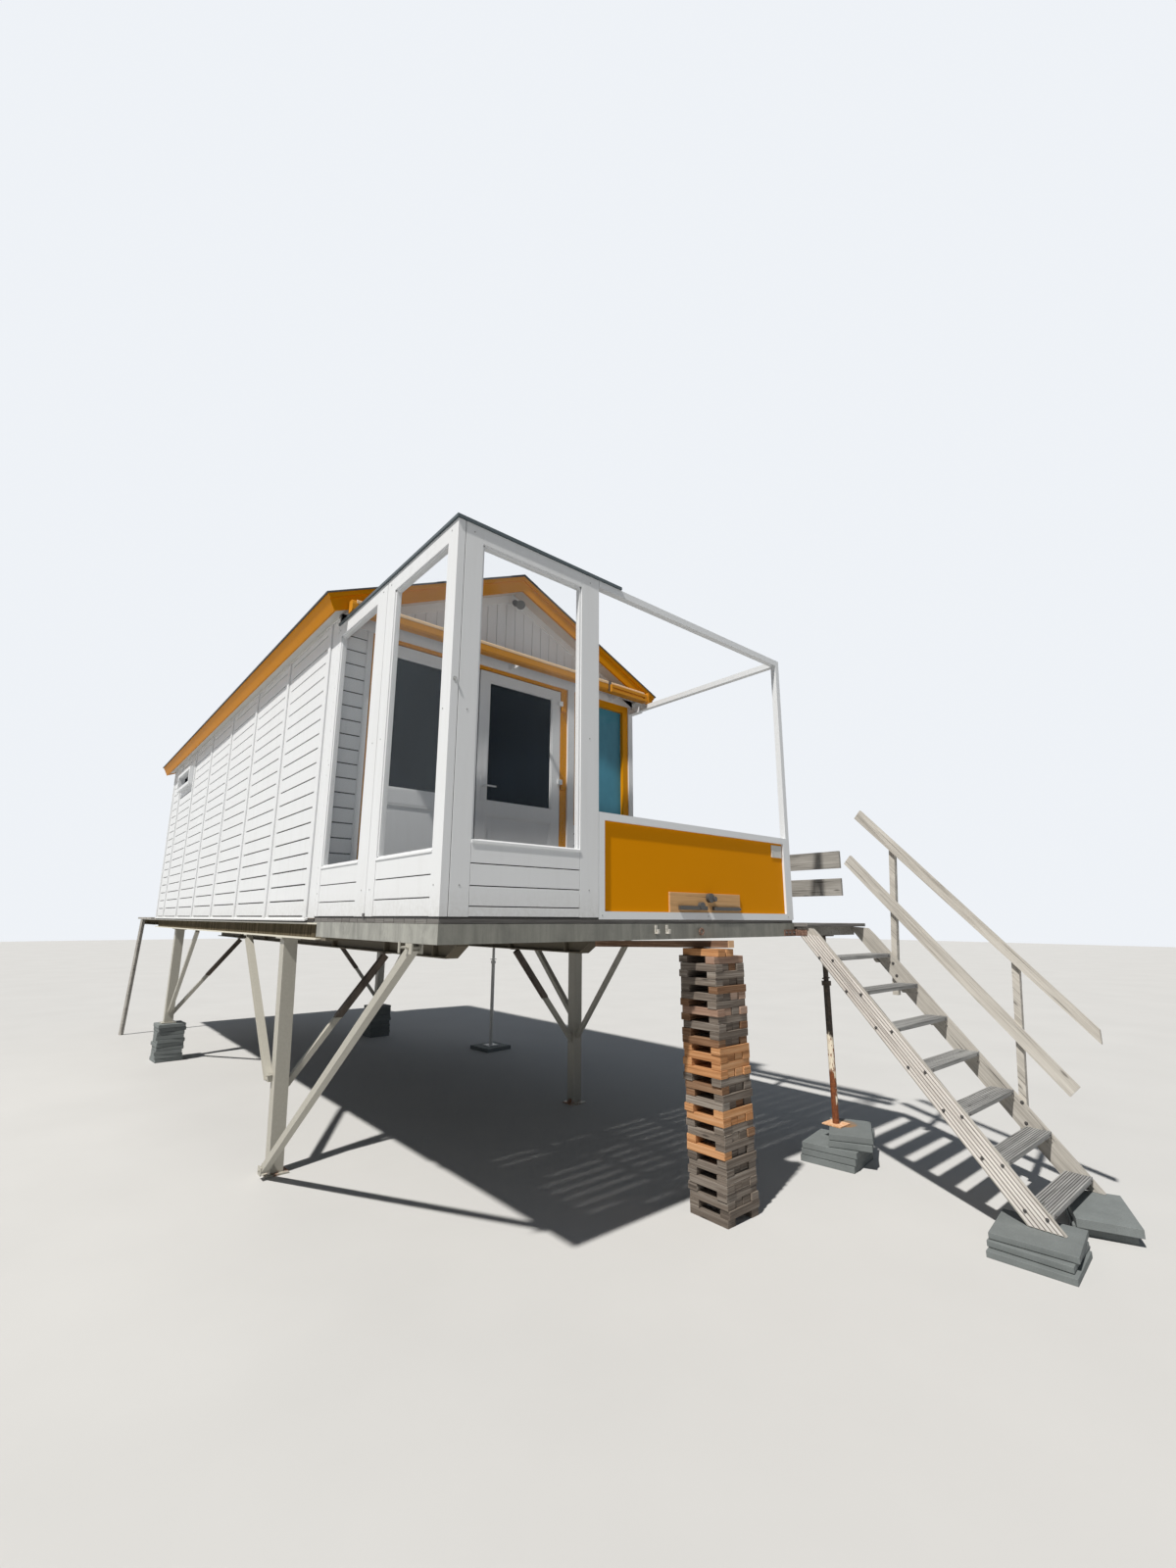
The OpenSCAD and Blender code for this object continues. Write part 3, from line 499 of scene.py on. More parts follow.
def prop_look():
    """Telescopic prop: dark worn tube, cream paint with rust streaks below it, rusted foot, pale plate."""
    m = Mat("prop_paint", 0.6, 0.4)
    obj = m.coord()
    fine = m.noise(obj, (60, 60, 45), 7.0, 0.7)
    patch = m.noise(obj, (28, 28, 9), 6.0, 0.7, 0.6)
    z = m.add(m.height(), m.mul(m.sub(patch, 0.5), 0.22))
    rust = m.ramp(fine, [(0.3, (0.075, 0.022, 0.010)), (0.7, (0.30, 0.095, 0.03))])
    dark = m.fade(fine, 0.4, 0.7, (0.045, 0.038, 0.032), (0.13, 0.095, 0.065))
    streaks = m.add(m.mul(patch, 0.7), m.mul(fine, 0.3))
    cream = m.fade(streaks, 0.50, 0.54, (0.78, 0.70, 0.56), rust)
    x, y, _ = m.place()
    right_side = m.sub(m.mul(x, STRIP_X), m.mul(y, STRIP_Y))
    middle = (PROP_X - OX) * STRIP_X - (PROP_Y - OY) * STRIP_Y
    right_side = m.above(right_side, middle + 0.002)
    low_end = m.sub(0.60, m.mul(right_side, 0.24))
    col = m.mix(m.mul(m.sub(z, low_end), 60.0, True), rust, cream)
    col = m.mix(m.mul(m.sub(z, 0.87), 60.0, True), col, dark)
    pale = m.fade(fine, 0.4, 0.6, (0.62, 0.30, 0.13), (0.75, 0.50, 0.32))
    col = m.mix(m.below(m.height(), 0.2365), col, pale)
    m.colour(col)
    m.bump(fine, 0.4, 0.0015)
    return m.m


def floor_look():
    """Plain pale studio floor."""
    m = Mat("pale_floor", 0.9, 0.2)
    n = m.noise(m.coord(), 0.9, 4.0, 0.5)
    m.colour(m.fade(n, 0.3, 0.7, (0.56, 0.56, 0.555), (0.585, 0.585, 0.58)))
    return m.m


WHITE = (0.73, 0.745, 0.76)
WORN = (0.46, 0.45, 0.42)
OCHRE = (0.64, 0.245, 0.0)

white_boards = paint("white_board_paint", WHITE, WORN, "uv", 0.28, 0.42, DECK)
white_joinery = paint("white_joinery_paint", (0.72, 0.74, 0.76), WORN, "z", 0.35, 0.38, DECK)
white_tube = paint("white_tube_paint", (0.73, 0.75, 0.77), (0.66, 0.66, 0.64), "x", 0.04, 0.35,
                   relief=0.02)
white_lining = paint("white_lining_paint", (0.62, 0.61, 0.58), (0.50, 0.48, 0.44), "z", 0.2, 0.55)
soffit_paint = paint("soffit_paint", (0.66, 0.655, 0.64), (0.45, 0.43, 0.40), "y", 0.25, 0.6)
# Near black for grooves and joints: dirt, and painted shade in the recesses
groove_dirt_and_shade = paint("groove_dirt_and_shade", (0.030, 0.029, 0.028), (0.07, 0.065, 0.06), "x", 0.4, 0.8)
ochre_board = paint("ochre_board_paint", OCHRE, (0.46, 0.185, 0.004), "y", 0.3, specular=0.1)
ochre_frame = paint("ochre_frame_paint", (0.66, 0.27, 0.002), (0.34, 0.14, 0.01), "z", 0.4, 0.4,
                    specular=0.15)
ochre_sheet = paint("ochre_sheet_paint", (0.70, 0.265, 0.0), (0.60, 0.225, 0.0), "x", 0.08, 0.5,
                    relief=0.03, specular=0.05)
ochre_case = paint("ochre_case_paint", (0.60, 0.255, 0.02), (0.34, 0.15, 0.02), "x", 0.35,
                   specular=0.15, behind=1.566 - OY)
roof_lining = paint("roof_lining_paint", (0.62, 0.56, 0.50), (0.36, 0.31, 0.27), "y", 0.5, 0.6)
deck_plank = timber("deck_plank", (0.075, 0.07, 0.066), (0.18, 0.172, 0.163), (0.32, 0.31, 0.295), "uv")
rail_wood = timber("rail_wood", (0.28, 0.26, 0.23), (0.50, 0.475, 0.43), (0.66, 0.635, 0.585), "slope")
guard_wood = timber("guard_wood", (0.17, 0.16, 0.145), (0.32, 0.305, 0.28), (0.46, 0.44, 0.41), "y")
tread_wood = timber("tread_wood", (0.12, 0.12, 0.117), (0.29, 0.29, 0.285), (0.46, 0.46, 0.45), "x")
stringer_wood = timber("stringer_wood", (0.24, 0.225, 0.20), (0.44, 0.415, 0.375), (0.58, 0.555, 0.51),
                       "slope")
rib_wood = timber("rib_wood", (0.42, 0.385, 0.355), (0.66, 0.625, 0.59), (0.82, 0.79, 0.755), "slope")
rib_groove = paint("rib_groove_wood", (0.16, 0.14, 0.122), (0.11, 0.098, 0.086), "x", 0.4, 0.8)
# The beam's end in front of the stack is pale: fresh-sawn wood with painted sunlight
beam_wood = timber("beam_wood", (0.07, 0.04, 0.025), (0.18, 0.105, 0.065), (0.36, 0.24, 0.16), "y",
                   cut=-0.132 - OY)
platform_wood = timber("platform_wood", (0.15, 0.14, 0.13), (0.33, 0.315, 0.29), (0.50, 0.48, 0.45),
                       "x")
floor_sheet = timber("floor_sheet", (0.20, 0.15, 0.10), (0.34, 0.26, 0.18), (0.44, 0.35, 0.26), "y",
                     edge=DECK - 0.002)
plywood = timber("latch_board_wood", (0.42, 0.24, 0.11), (0.60, 0.36, 0.17), (0.70, 0.46, 0.24), "x")
# Front face of the trim darkened: painted shade with dirt
trim_zinc = steel("stained_zinc", (0.37, 0.37, 0.335), (0.20, 0.13, 0.08), 0.02, streak=0.5,
                  front=0.002 - OY)
# The side beams' web is painted dark: shade under the flange, with grime
cream_steel = steel("cream_steel_paint", (0.66, 0.63, 0.53), (0.26, 0.10, 0.035), 0.16, 0.05, 0.42,
                    web=(1.6445, 1.7335))
# Dark brown for the beige steel under the cabin: painted shade
beige_steel_in_painted_shade = steel("beige_steel_paint", (0.145, 0.125, 0.09), (0.13, 0.06, 0.028), 0.40, rough=0.7)
zinc = steel("dull_zinc", (0.40, 0.41, 0.41), (0.22, 0.13, 0.07), 0.05, rough=0.45, streak=0.2)
# Lighter copy of the dull zinc for the rear prop: painted sky sheen
prop_zinc_painted_sheen = steel("prop_zinc_painted_sheen", (0.72, 0.72, 0.70), (0.22, 0.13, 0.07), 0.05, rough=0.45, streak=0.1)
white_zinc = steel("white_zinc", (0.66, 0.65, 0.61), (0.22, 0.13, 0.07), 0.12, streak=0.2)
iron = steel("dark_iron", (0.075, 0.072, 0.07), (0.15, 0.09, 0.055), 0.2, rough=0.45)
latch_steel = steel("latch_steel", (0.075, 0.072, 0.068), (0.14, 0.09, 0.06), 0.2, rough=0.4)
slabs = stone("grey_paving_slab", (0.178, 0.196, 0.196))
felt_mat = felt("roofing_felt", (0.085, 0.09, 0.095))
capping_mat = steel("dark_capping_sheet", (0.055, 0.075, 0.085), (0.12, 0.11, 0.09), 0.0, rough=0.4)
lamp_mat = steel("lamp_housing", (0.12, 0.12, 0.118), (0.15, 0.12, 0.09), 0.1)
# Nearly opaque black pane for the door and side window: painted shade of the unlit room behind the glass
pane_dark = glass("cabin_pane", (0.003, 0.006, 0.012), 0.985, 0.05)
pane_teal = glass("window_pane", (0.060, 0.235, 0.330), 0.92, 0.3)
pane_clear = glass("veranda_pane", (0.20, 0.27, 0.31), 0.02, 0.03)
rust_steel = prop_look()


def leg_look(name, from_x, sign):
    """Cream leg; the upper tube of its cross brace, beyond from_x, is dark brown."""
    m = Mat(name, 0.5, 0.4)
    obj = m.coord()
    fine = m.noise(obj, 55, 7.0, 0.7)
    patch = m.noise(obj, (6, 6, 3.0), 6.0, 0.68, 0.5)
    x, _, z = m.place()
    base = m.mix(m.ramp(fine, [(0.35, 0.25), (0.65, 0.0)]), (0.43, 0.415, 0.365), (0.29, 0.275, 0.23))
    rust = m.ramp(fine, [(0.3, (0.12, 0.05, 0.02)), (0.7, (0.30, 0.13, 0.055))])
    low = m.mul(m.sub(0.10, z), 2.2, True)
    mask = m.ramp(m.add(m.add(m.mul(patch, 0.7), m.mul(fine, 0.3)), low),
                  [(0.66, 0.0), (0.73, 1.0)])
    col = m.mix(mask, base, rust)
    brace = m.fade(patch, 0.35, 0.6, (0.055, 0.043, 0.033), (0.13, 0.10, 0.078))
    off = m.mul(m.sub(x, from_x - OX), 200.0 * sign, True)
    high = m.mul(m.sub(z, 1.015), 200.0, True)
    under = m.mul(m.sub(1.6, z), 200.0, True)
    m.colour(m.mix(m.mul(m.mul(off, high), under), col, brace))
    m.bump(m.add(m.mul(fine, 0.5), m.mul(mask, 0.5)), 0.3, 0.0015)
    return m.m


def fittings_look():
    """Pale zinc brackets on the left, rust on the eye and the strap hinge."""
    m = Mat("trim_fittings_metal", 0.65, 0.35)
    obj = m.coord()
    fine = m.noise(obj, 90, 6.0, 0.7)
    x = m.place()[0]
    zinc_col = m.fade(fine, 0.35, 0.6, (0.40, 0.38, 0.34), (0.72, 0.70, 0.64))
    rust = m.fade(fine, 0.35, 0.62, (0.055, 0.028, 0.018), (0.27, 0.165, 0.125))
    m.colour(m.mix(m.above(x, 1.6 - OX), zinc_col, rust))
    m.bump(fine, 0.5, 0.0015)
    return m.m


leg_left = leg_look("left_leg_paint", 0.172, 1)
leg_right = leg_look("right_leg_paint", 2.842, -1)

# Look and edge rounding of each CAD node that stays
CAD_LOOKS = {
    "side_beams": (cream_steel, 0.002), "cross_members": (beige_steel_in_painted_shade, 0.002), "girders": (beige_steel_in_painted_shade, 0.0),
    "leg_front_left": (leg_left, 0.002), "leg_front_right": (leg_right, 0.002),
    "leg_rear_left": (leg_left, 0.002), "leg_rear_right": (leg_right, 0.002),
    "veranda_frame": (trim_zinc, 0.0015), "crib_beam": (beam_wood, 0.002), "cabin_floor": (floor_sheet, 0.0),
    "door_frame": (ochre_frame, 0.0015),
    "door_left": (white_joinery, 0.002), "door_right": (white_joinery, 0.002),
    "door_glass_left": (pane_dark, 0.0), "door_glass_right": (pane_dark, 0.0),
    "front_window_frame": (ochre_frame, 0.003), "front_window_glass": (pane_teal, 0.0),
    "side_window_frame": (white_joinery, 0.002), "side_window_glass": (pane_dark, 0.0),
    "roof_panels": (roof_lining, 0.0), "roof_edge_boards": (ochre_board, 0.0015),
    "eave_soffits": (soffit_paint, 0.0015), "awning": (ochre_case, 0.002),
    "gable_lamp": (lamp_mat, 0.001), "veranda_glass": (pane_clear, 0.0), "capping": (capping_mat, 0.001),
    "balustrade_frame": (white_tube, 0.003), "veranda_tubes": (white_tube, 0.004),
    "walkway_beams": (guard_wood, 0.002), "walkway_guard": (guard_wood, 0.002),
    "prop_front": (rust_steel, 0.001), "prop_rear": (prop_zinc_painted_sheen, 0.001),
    "stair_stringers": (stringer_wood, 0.002), "stair_treads": (tread_wood, 0.0),
    "stair_handrail": (rail_wood, 0.003), "balustrade_latch": (latch_steel, 0.0015),
    "trim_fittings": (fittings_look(), 0.001), "rear_platform": (platform_wood, 0.002),
}
for node_name, (look, edge) in CAD_LOOKS.items():
    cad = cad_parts[node_name]
    if not cad.material_slots:
        cad.data.materials.append(look)
    for place in cad.material_slots:
        place.material = look
    if edge:
        soften(cad, edge)


# Walls of boards between cover battens

# Cover of a board at the front and at the sides, width of a joint, height of the lowest joint above the floor
FRONT_PITCH = 0.1076
SIDE_PITCH = 0.1108
GROOVE = 0.010
FIRST = 0.011

# First side batten, distance between battens, width and thickness of one, upright board beside it
BATTEN = 1.885
PANEL = 1.024
BATTEN_W, BATTEN_T = 0.045, 0.012
UPRIGHT = 0.064

# Thickness of a board and of the dark layer behind it, painted shade with dirt for the grooves; depth of that
# layer and of the lining in end walls
BOARD = 0.008
SHADE_AND_DIRT = 0.005
REVEAL, SHELL = 0.007, 0.012

# Top of the front wall, top of the side boards, lower edge of the front window, opening of the side window
HEAD = DECK + 2.130
FRIEZE = DECK + 2.170
SILL = DECK + 0.844
SIDE_WINDOW = (7.060, 7.950, DECK + 1.751, DECK + 1.996)

# The third material fills the grooves: painted shade with dirt
BOARDED = [white_boards, white_lining, groove_dirt_and_shade]


def tone():
    """Random tint of one board or block."""
    return round(random.uniform(0.2, 0.9), 3)


def lerp(p, q, t):
    """Point at the share t of the way from p to q."""
    return (p[0] + (q[0] - p[0]) * t, p[1] + (q[1] - p[1]) * t)


def rect(x0, x1, z0, z1):
    """Corners of an upright rectangle."""
    return [(x0, z0), (x1, z0), (x1, z1), (x0, z1)]


def ring(a0, a1, z0, z1, w, cut=0.0):
    """Four bars of width w round an opening: foot, head and two uprights, shortened by cut at both ends."""
    return ((a0, a1, z0, z0 + w), (a0, a1, z1 - w, z1),
            (a0, a0 + w, z0 + cut, z1 - cut), (a1 - w, a1, z0 + cut, z1 - cut))


def without(area, hole):
    """Parts of an upright rectangle (y0, y1, z0, z1) that lie outside the hole."""
    y0, y1, z0, z1 = area
    if hole is None or y1 <= hole[0] or y0 >= hole[1] or z1 <= hole[2] or z0 >= hole[3]:
        return [area]
    a, b = max(y0, hole[0]), min(y1, hole[1])
    parts = [(y0, hole[0], z0, z1), (hole[1], y1, z0, z1), (a, b, z0, hole[2]), (a, b, hole[3], z1)]
    return [p for p in parts if p[1] - p[0] > 0.001 and p[3] - p[2] > 0.001]


def clip_roof(poly):
    """Cuts a polygon in the gable's plane along the roof's underside; None where nothing is left."""
    ridge = APEX - UNDER / math.cos(PITCH)
    for side in (-1, 1):
        out = []
        for i, p in enumerate(poly):
            q = poly[(i + 1) % len(poly)]
            dp, dq = (ridge - side * (v[0] - MID_X) * math.tan(PITCH) - v[1] for v in (p, q))
            if dp >= 0:
                out.append(p)
            if (dp > 0 > dq) or (dp < 0 < dq):
                out.append(lerp(p, q, dp / (dp - dq)))
        poly = out
    return poly if len(poly) > 2 else None


def board_levels(z_to, pitch=FRONT_PITCH):
    """Bottom and top of each board course from the floor up to a height above it."""
    joints = [FIRST + pitch * k for k in range(60)]
    edges = [0.0] + [z for z in joints if z < z_to] + [z_to]
    courses = []
    for k, (a, b) in enumerate(zip(edges, edges[1:])):
        a = a if k == 0 else a + GROOVE / 2
        b = b if b == z_to else b - GROOVE / 2
        if b - a > 0.002:
            courses.append((DECK + a, DECK + b))
    return courses


def boarded(shape, name):
    """Object of painted boards that replaces the wall of the same name."""
    shape.object(name, BOARDED, nodes=[name], slot="white_boards", bevel=0.0012)


def side_wall(name, inner, s, hole=None):
    """Side wall whose inner face is at x = inner and whose boards face the direction s."""
    w = Shape()
    core = inner + s * (WALL - BOARD)
    lining = core - s * SHADE_AND_DIRT
    face = inner + s * WALL
    batten = face + s * BATTEN_T
    drip = face + s * 0.022
    start = CAB_Y0 + WALL
    first, last = start + SHELL, CAB_Y1 - SHELL
    spans = [(first, last)] if hole is None else [(first, hole[0]), (hole[1], last)]

    def slab(x0, x1, area, along, tint):
        y0, y1, z0, z1 = area
        w.box((min(x0, x1), y0, z0), (max(x0, x1), y1, z1), along, tint)

    def up_to_roof(p, q, z, a, b, along="y", tint=0.5):
        w.prism([(p, z), (q, z), (q, roof_under(q)), (p, roof_under(p))], "y", a, b, along, tint)

    for kind, p, q in ((1, inner, lining), (2, lining, core)):
        w.kind = kind
        for a, b in spans:
            up_to_roof(p, q, DECK, a, b)
        if hole:
            slab(p, q, (hole[0], hole[1], DECK, hole[2]), "y", 0.5)
            up_to_roof(p, q, hole[3], hole[0], hole[1])
    w.kind = 0
    for a, b in ((start, first), (last, CAB_Y1)):
        up_to_roof(inner, core, DECK, a, b, "z", 0.6)

    battens = [BATTEN + PANEL * k for k in range(7)]
    corner = CAB_Y1 - BATTEN_W
    for y, y_end in zip(battens, battens[1:] + [corner]):
        slab(face, batten, (y, y + BATTEN_W, DECK, FRIEZE), "z", tone())
        a, b = y + BATTEN_W, y_end
        if y == BATTEN:
            slab(core, face, (start, y - 0.004, DECK, FRIEZE), "z", 0.6)
            slab(core, face, (y, a, DECK, FRIEZE), "z", 0.6)
        for y0, y1 in ((a, a + UPRIGHT), (b - UPRIGHT, b)):
            for area in without((y0, y1, DECK, FRIEZE), hole):
                slab(core, face, area, "z", tone())
        edge = UPRIGHT + 0.001
        for z0, z1 in board_levels(FRIEZE - DECK, SIDE_PITCH):
            tint = tone()
            for area in without((a + edge, b - edge, z0, z1), hole):
                slab(core, face, area, "y", tint)
    slab(face, batten, (corner, CAB_Y1, DECK, FRIEZE), "z", tone())
    w.prism([(face, DECK + 0.004), (drip, DECK - 0.008), (drip, DECK - 0.020), (face, DECK - 0.014)],
            "y", BATTEN - 0.015, CAB_Y1 + 0.004, "y", 0.6)
    boarded(w, name)


def end_core(shape, outline, face, s, along):
    """Lining and dark layer, painted shade with dirt for the grooves, of an end wall whose face is at y =
    face and whose inside lies towards s.
    """
    for kind, near, far in ((1, SHELL, WALL), (2, REVEAL, SHELL)):
        shape.kind = kind
        y0, y1 = sorted((face + s * near, face + s * far))
        shape.prism(outline, "y", y0, y1, along)
    shape.kind = 0


def rear_wall():
    """Rear wall of level boards up to the roof."""
    rear = Shape()
    end_core(rear, clip_roof(rect(WALL, WIDTH - WALL, DECK, APEX)), CAB_Y1, -1, "x")
    for z0, z1 in board_levels(APEX - DECK):
        piece = clip_roof(rect(WALL, WIDTH - WALL, z0, z1))
        if piece:
            rear.prism(piece, "y", CAB_Y1 - BOARD, CAB_Y1, "x", tone())
    boarded(rear, "wall_rear")


def front_core(shape, x0, x1, top):
    """Lining and dark layer, painted shade with dirt for the grooves, of the front wall below the height top.
    """
    for kind, near, far in ((1, SHELL, WALL), (2, REVEAL, SHELL)):
        shape.kind = kind
        shape.box((x0, CAB_Y0 + near, DECK), (x1, CAB_Y0 + far, top), "z")
    shape.kind = 0


def front_corner(shape, x0, x1):
    """Outer end of the front wall behind its boards."""
    shape.box((x0, CAB_Y0 + BOARD, DECK), (x1, CAB_Y0 + WALL, HEAD), "z", 0.6)


def front_post(shape, x0, x1, proud):
    """Upright trim that stands proud of the front wall's boards."""
    shape.box((x0, CAB_Y0 - proud, DECK), (x1, CAB_Y0 + BOARD, HEAD), "z", tone())


def front_boards(shape, x0, x1, top):
    """Level boards of the front wall up to the height top."""
    for z0, z1 in board_levels(top - DECK):
        shape.box((x0, CAB_Y0, z0), (x1, CAB_Y0 + BOARD, z1), "x", tone())


def front_wall_left():
    """Front wall between the left corner and the door frame."""
    part = Shape()
    post_x, door_x = 0.210, 0.250
    front_core(part, SHELL, door_x, HEAD)
    front_corner(part, 0.0, SHELL)
    front_post(part, post_x, door_x, 0.012)
    front_boards(part, 0.0, post_x, HEAD)
    boarded(part, "front_wall_left")


def front_wall_right():
    """Front wall from the door frame to the right corner, below and beside the window."""
    part = Shape()
    door_x, pane_x0, pane_x1 = 2.150, 2.230, 2.940
    front_core(part, door_x, pane_x0, HEAD)
    front_core(part, pane_x1, WIDTH - SHELL, HEAD)
    front_corner(part, WIDTH - SHELL, WIDTH)
    front_core(part, pane_x0, pane_x1, SILL)
    front_post(part, door_x, pane_x0, 0.016)
    front_post(part, pane_x1, WIDTH, 0.016)
    front_boards(part, pane_x0, pane_x1, SILL)
    boarded(part, "front_wall_right")


def front_gable():
    """Gable of upright boards, with trim at its foot, under the roof and at the peak."""
    gable = Shape()
    end_core(gable, clip_roof(rect(SHELL, WIDTH - SHELL, HEAD, APEX)), CAB_Y0, 1, "z")
    for x0, x1 in ((0.0, SHELL), (WIDTH - SHELL, WIDTH)):
        gable.prism(clip_roof(rect(x0, x1, HEAD, APEX)), "y", CAB_Y0 + BOARD, CAB_Y0 + WALL, "z", 0.6)
    width, gap = 0.096, 0.002
    for k in range(32):
        piece = clip_roof(rect(width * k + gap, min(WIDTH, width * (k + 1) - gap), HEAD, APEX))
        if piece:
            gable.prism(piece, "y", CAB_Y0, CAB_Y0 + BOARD, "z", tone())
    back, foot_top, deep = CAB_Y0 + 0.001, HEAD + 0.073, 0.072
    gable.box((0.0, CAB_Y0 - 0.014, HEAD), (WIDTH, back, foot_top), "x", tone())
    gable.prism(clip_roof(rect(0.0, WIDTH, foot_top, HEAD + 0.120)), "y", CAB_Y0 - 0.008, back, "x", tone())
    low, peak = roof_under(0.0), roof_under(MID_X)
    for x in (0.0, WIDTH):
        gable.prism([(MID_X, peak), (x, low), (x, low - deep), (MID_X, peak - deep)],
                    "y", CAB_Y0 - 0.014, back, "x", tone())
    key = 0.045
    gable.box((MID_X - key, CAB_Y0 - 0.022, peak - 0.105), (MID_X + key, CAB_Y0, peak - 0.025), "z", tone())
    boarded(gable, "front_gable")


def roofing():
    """Felt in lapped strips: start and end down the slope, and depth below the highest strip."""
    roof = Shape()
    under, lap = 0.015, 0.020
    for side in (-1, 1):
        for s0, s1, top in ((0.86, SLOPE + 0.010, 0.004), (0.0, 0.93, 0.0015), (0.0, 0.16, 0.0)):
            pts = [roof_point(side, s, v) for s, v in ((s0, top), (s1, top), (s1, under), (s0, under))]
            if s0 == 0.0:
                pts[0] = (MID_X, APEX - top / math.cos(PITCH))
                pts[3] = (MID_X, APEX - under / math.cos(PITCH))
            roof.prism(pts, "y", ROOF_Y0 - lap, ROOF_Y1 + lap, "y", tone())
    roof.object("roofing", felt_mat, nodes=["roofing"], slot="roofing_felt")


# Veranda floor, walkway and crib blocks, board by board

def veranda_floor():
    """Boards across the veranda."""
    floor = Shape()
    board, step = 0.118, 0.124
    for k in range(14):
        y = 0.008 + step * k
        floor.box((0.004, y, 1.7502), (WIDTH - 0.004, min(y + board, CAB_Y0), DECK - 0.001), "x", tone())
    floor.object("veranda_floor", deck_plank, nodes=["veranda_floor"], slot="grey_planks", bevel=0.0015)


def walkway_deck():
    """Boards across the walkway, a little uneven in height and length."""
    walk = Shape()
    board, gap = 0.142, 0.005
    y = -0.110
    while y < 5.88:
        lift = random.uniform(0.0, 0.0015)
        x_end = 3.912 - random.uniform(0, 0.004)
        walk.box((3.005, y, 1.725), (x_end, min(y + board, 5.900), 1.752 - lift), "x", tone())
        y += board + gap
    walk.object("walkway_deck", deck_plank, nodes=["walkway_deck"], slot="grey_planks", bevel=0.0025)


CRIB_LOOKS = {
    "crib_grey": ((0.060, 0.048, 0.040), (0.20, 0.165, 0.135), (0.42, 0.38, 0.335)),
    "crib_brown": ((0.075, 0.034, 0.016), (0.23, 0.125, 0.068), (0.46, 0.31, 0.20)),
    "crib_orange": ((0.24, 0.095, 0.035), (0.56, 0.285, 0.125), (0.76, 0.475, 0.27)),
    "crib_pink": ((0.17, 0.090, 0.058), (0.46, 0.315, 0.235), (0.66, 0.52, 0.43)),
}

# Layers of the crib, height of one, width and length of a block
LAYERS = 35
LAYER = 0.0454
BLOCK_W, BLOCK_L = 0.072, 0.300


def crib_key(i):
    """Colour of a block in layer i: fresher wood in some layers, grey elsewhere."""
    if i in (12, 18, 20, 21, 34):
        return "crib_orange"
    if i in (8, 9, 13, 19):
        return random.choice(["crib_orange", "crib_orange", "crib_grey"])
    if i in (26, 28, 33):
        return random.choice(["crib_pink", "crib_pink", "crib_grey"])
    return random.choice(["crib_grey"] * 5 + ["crib_brown"])


def wave(angle):
    """Sine of an angle in degrees, for small shifts from one layer to the next."""
    return math.sin(math.radians(angle))


def crib_stack():
    """Crossed layers of blocks, two along X or four along Y, but two in the lowest and the highest."""
    crib = {key: Shape() for key in CRIB_LOOKS}

    def block(i, x, y, w, l):
        move = turn(random.uniform(-0.7, 0.7), (x + w / 2, y + l / 2, 0))
        crib[crib_key(i)].box((x, y, i * LAYER + 0.0004), (x + w, y + l, (i + 1) * LAYER - 0.0004),
                              "x" if w > l else "y", tone(), move)

    for i in range(LAYERS):
        x = 1.906 - 0.030 * i / LAYERS + 0.005 * wave(i * 77)
        y = -0.135 + 0.014 * i / LAYERS + 0.005 * wave(i * 131 + 90)
        if i % 2 == 1:
            for k in (0.0, BLOCK_L - BLOCK_W):
                block(i, x + 0.003 * wave(i * 61 + k * 1000), y + k, BLOCK_L, BLOCK_W)
        elif i == LAYERS - 1:
            for k in (0.0, 0.084):
                block(i, x + 0.028 + k, y - 0.002, BLOCK_W, BLOCK_L)
        else:
            for k, back in ((0.0, 0.0), (0.076, 0.009), (0.152, 0.009), (0.228, 0.0)):
                if i > 0 or back == 0.0:
                    block(i, x + k, y + back + 0.003 * wave(i * 43 + k * 1000), BLOCK_W, 0.292)
    for key, (dark, mid, light) in CRIB_LOOKS.items():
        look = timber(key, dark, mid, light, "uv", 0.85, 0.55)
        crib[key].object(key, look, nodes=["crib_stack"], slot="crib_blocks", bevel=0.0016)


# Paving slabs, one by one; a row holds the centre, height, width, length, thickness and turn of a slab

def slab_stack(name, rows):
    """Slabs with a dark joint below each one that lies on another; the joint takes the darkest tint, painted
    shade in the gap.
    """
    s = Shape()
    rim = 0.012
    for x, y, z, w, l, t, a in rows:
        x0, x1, y0, y1 = x - w / 2, x + w / 2, y - l / 2, y + l / 2
        move = turn(a, (x, y, 0))
        s.box((x0, y0, z + 0.002 if z > 0 else 0.0), (x1, y1, z + t - 0.0015), "x", tone(), move)
        # The joint takes the darkest tint: painted shade in the gap
        if z > 0:
            s.box((x0 + rim, y0 + rim, z - 0.002), (x1 - rim, y1 - rim, z + 0.003), "x", 0.0, move)
    s.object(name, slabs, nodes=[name], slot="concrete_slabs", bevel=0.003, segments=2)


def rear_slabs():
    """Two stacks of ten slabs below the rear legs."""
    t = 0.0451
    rows = []
    for x, shift in ((0.107, 0.030), (2.893, 0.0)):
        for i in range(10):
            rows.append((x + shift + 0.006 * wave(i * 151 + 20), 7.309 + 0.006 * wave(i * 97 + 100),
                         i * t, 0.300, 0.300, t, 1 + 3 * wave(i * 83 + x * 1000)))
    slab_stack("rear_slabs", rows)


def prop_slabs():
    """Three square and two oblong slabs below the front prop, and one below the rear prop."""
    t = 0.0456
    rows = [(3.449 + 0.005 * i, 0.030 - 0.004 * i, i * t, 0.400, 0.400, t, 8 + i) for i in range(3)]
    rows += [(3.524, -0.062, 3 * t, 0.440, 0.300, t, 24), (3.534, -0.048, 4 * t, 0.440, 0.300, t, 28),
             (3.700, 5.300, 0.0, 0.400, 0.400, 0.050, 5)]
    slab_stack("prop_slabs", rows)


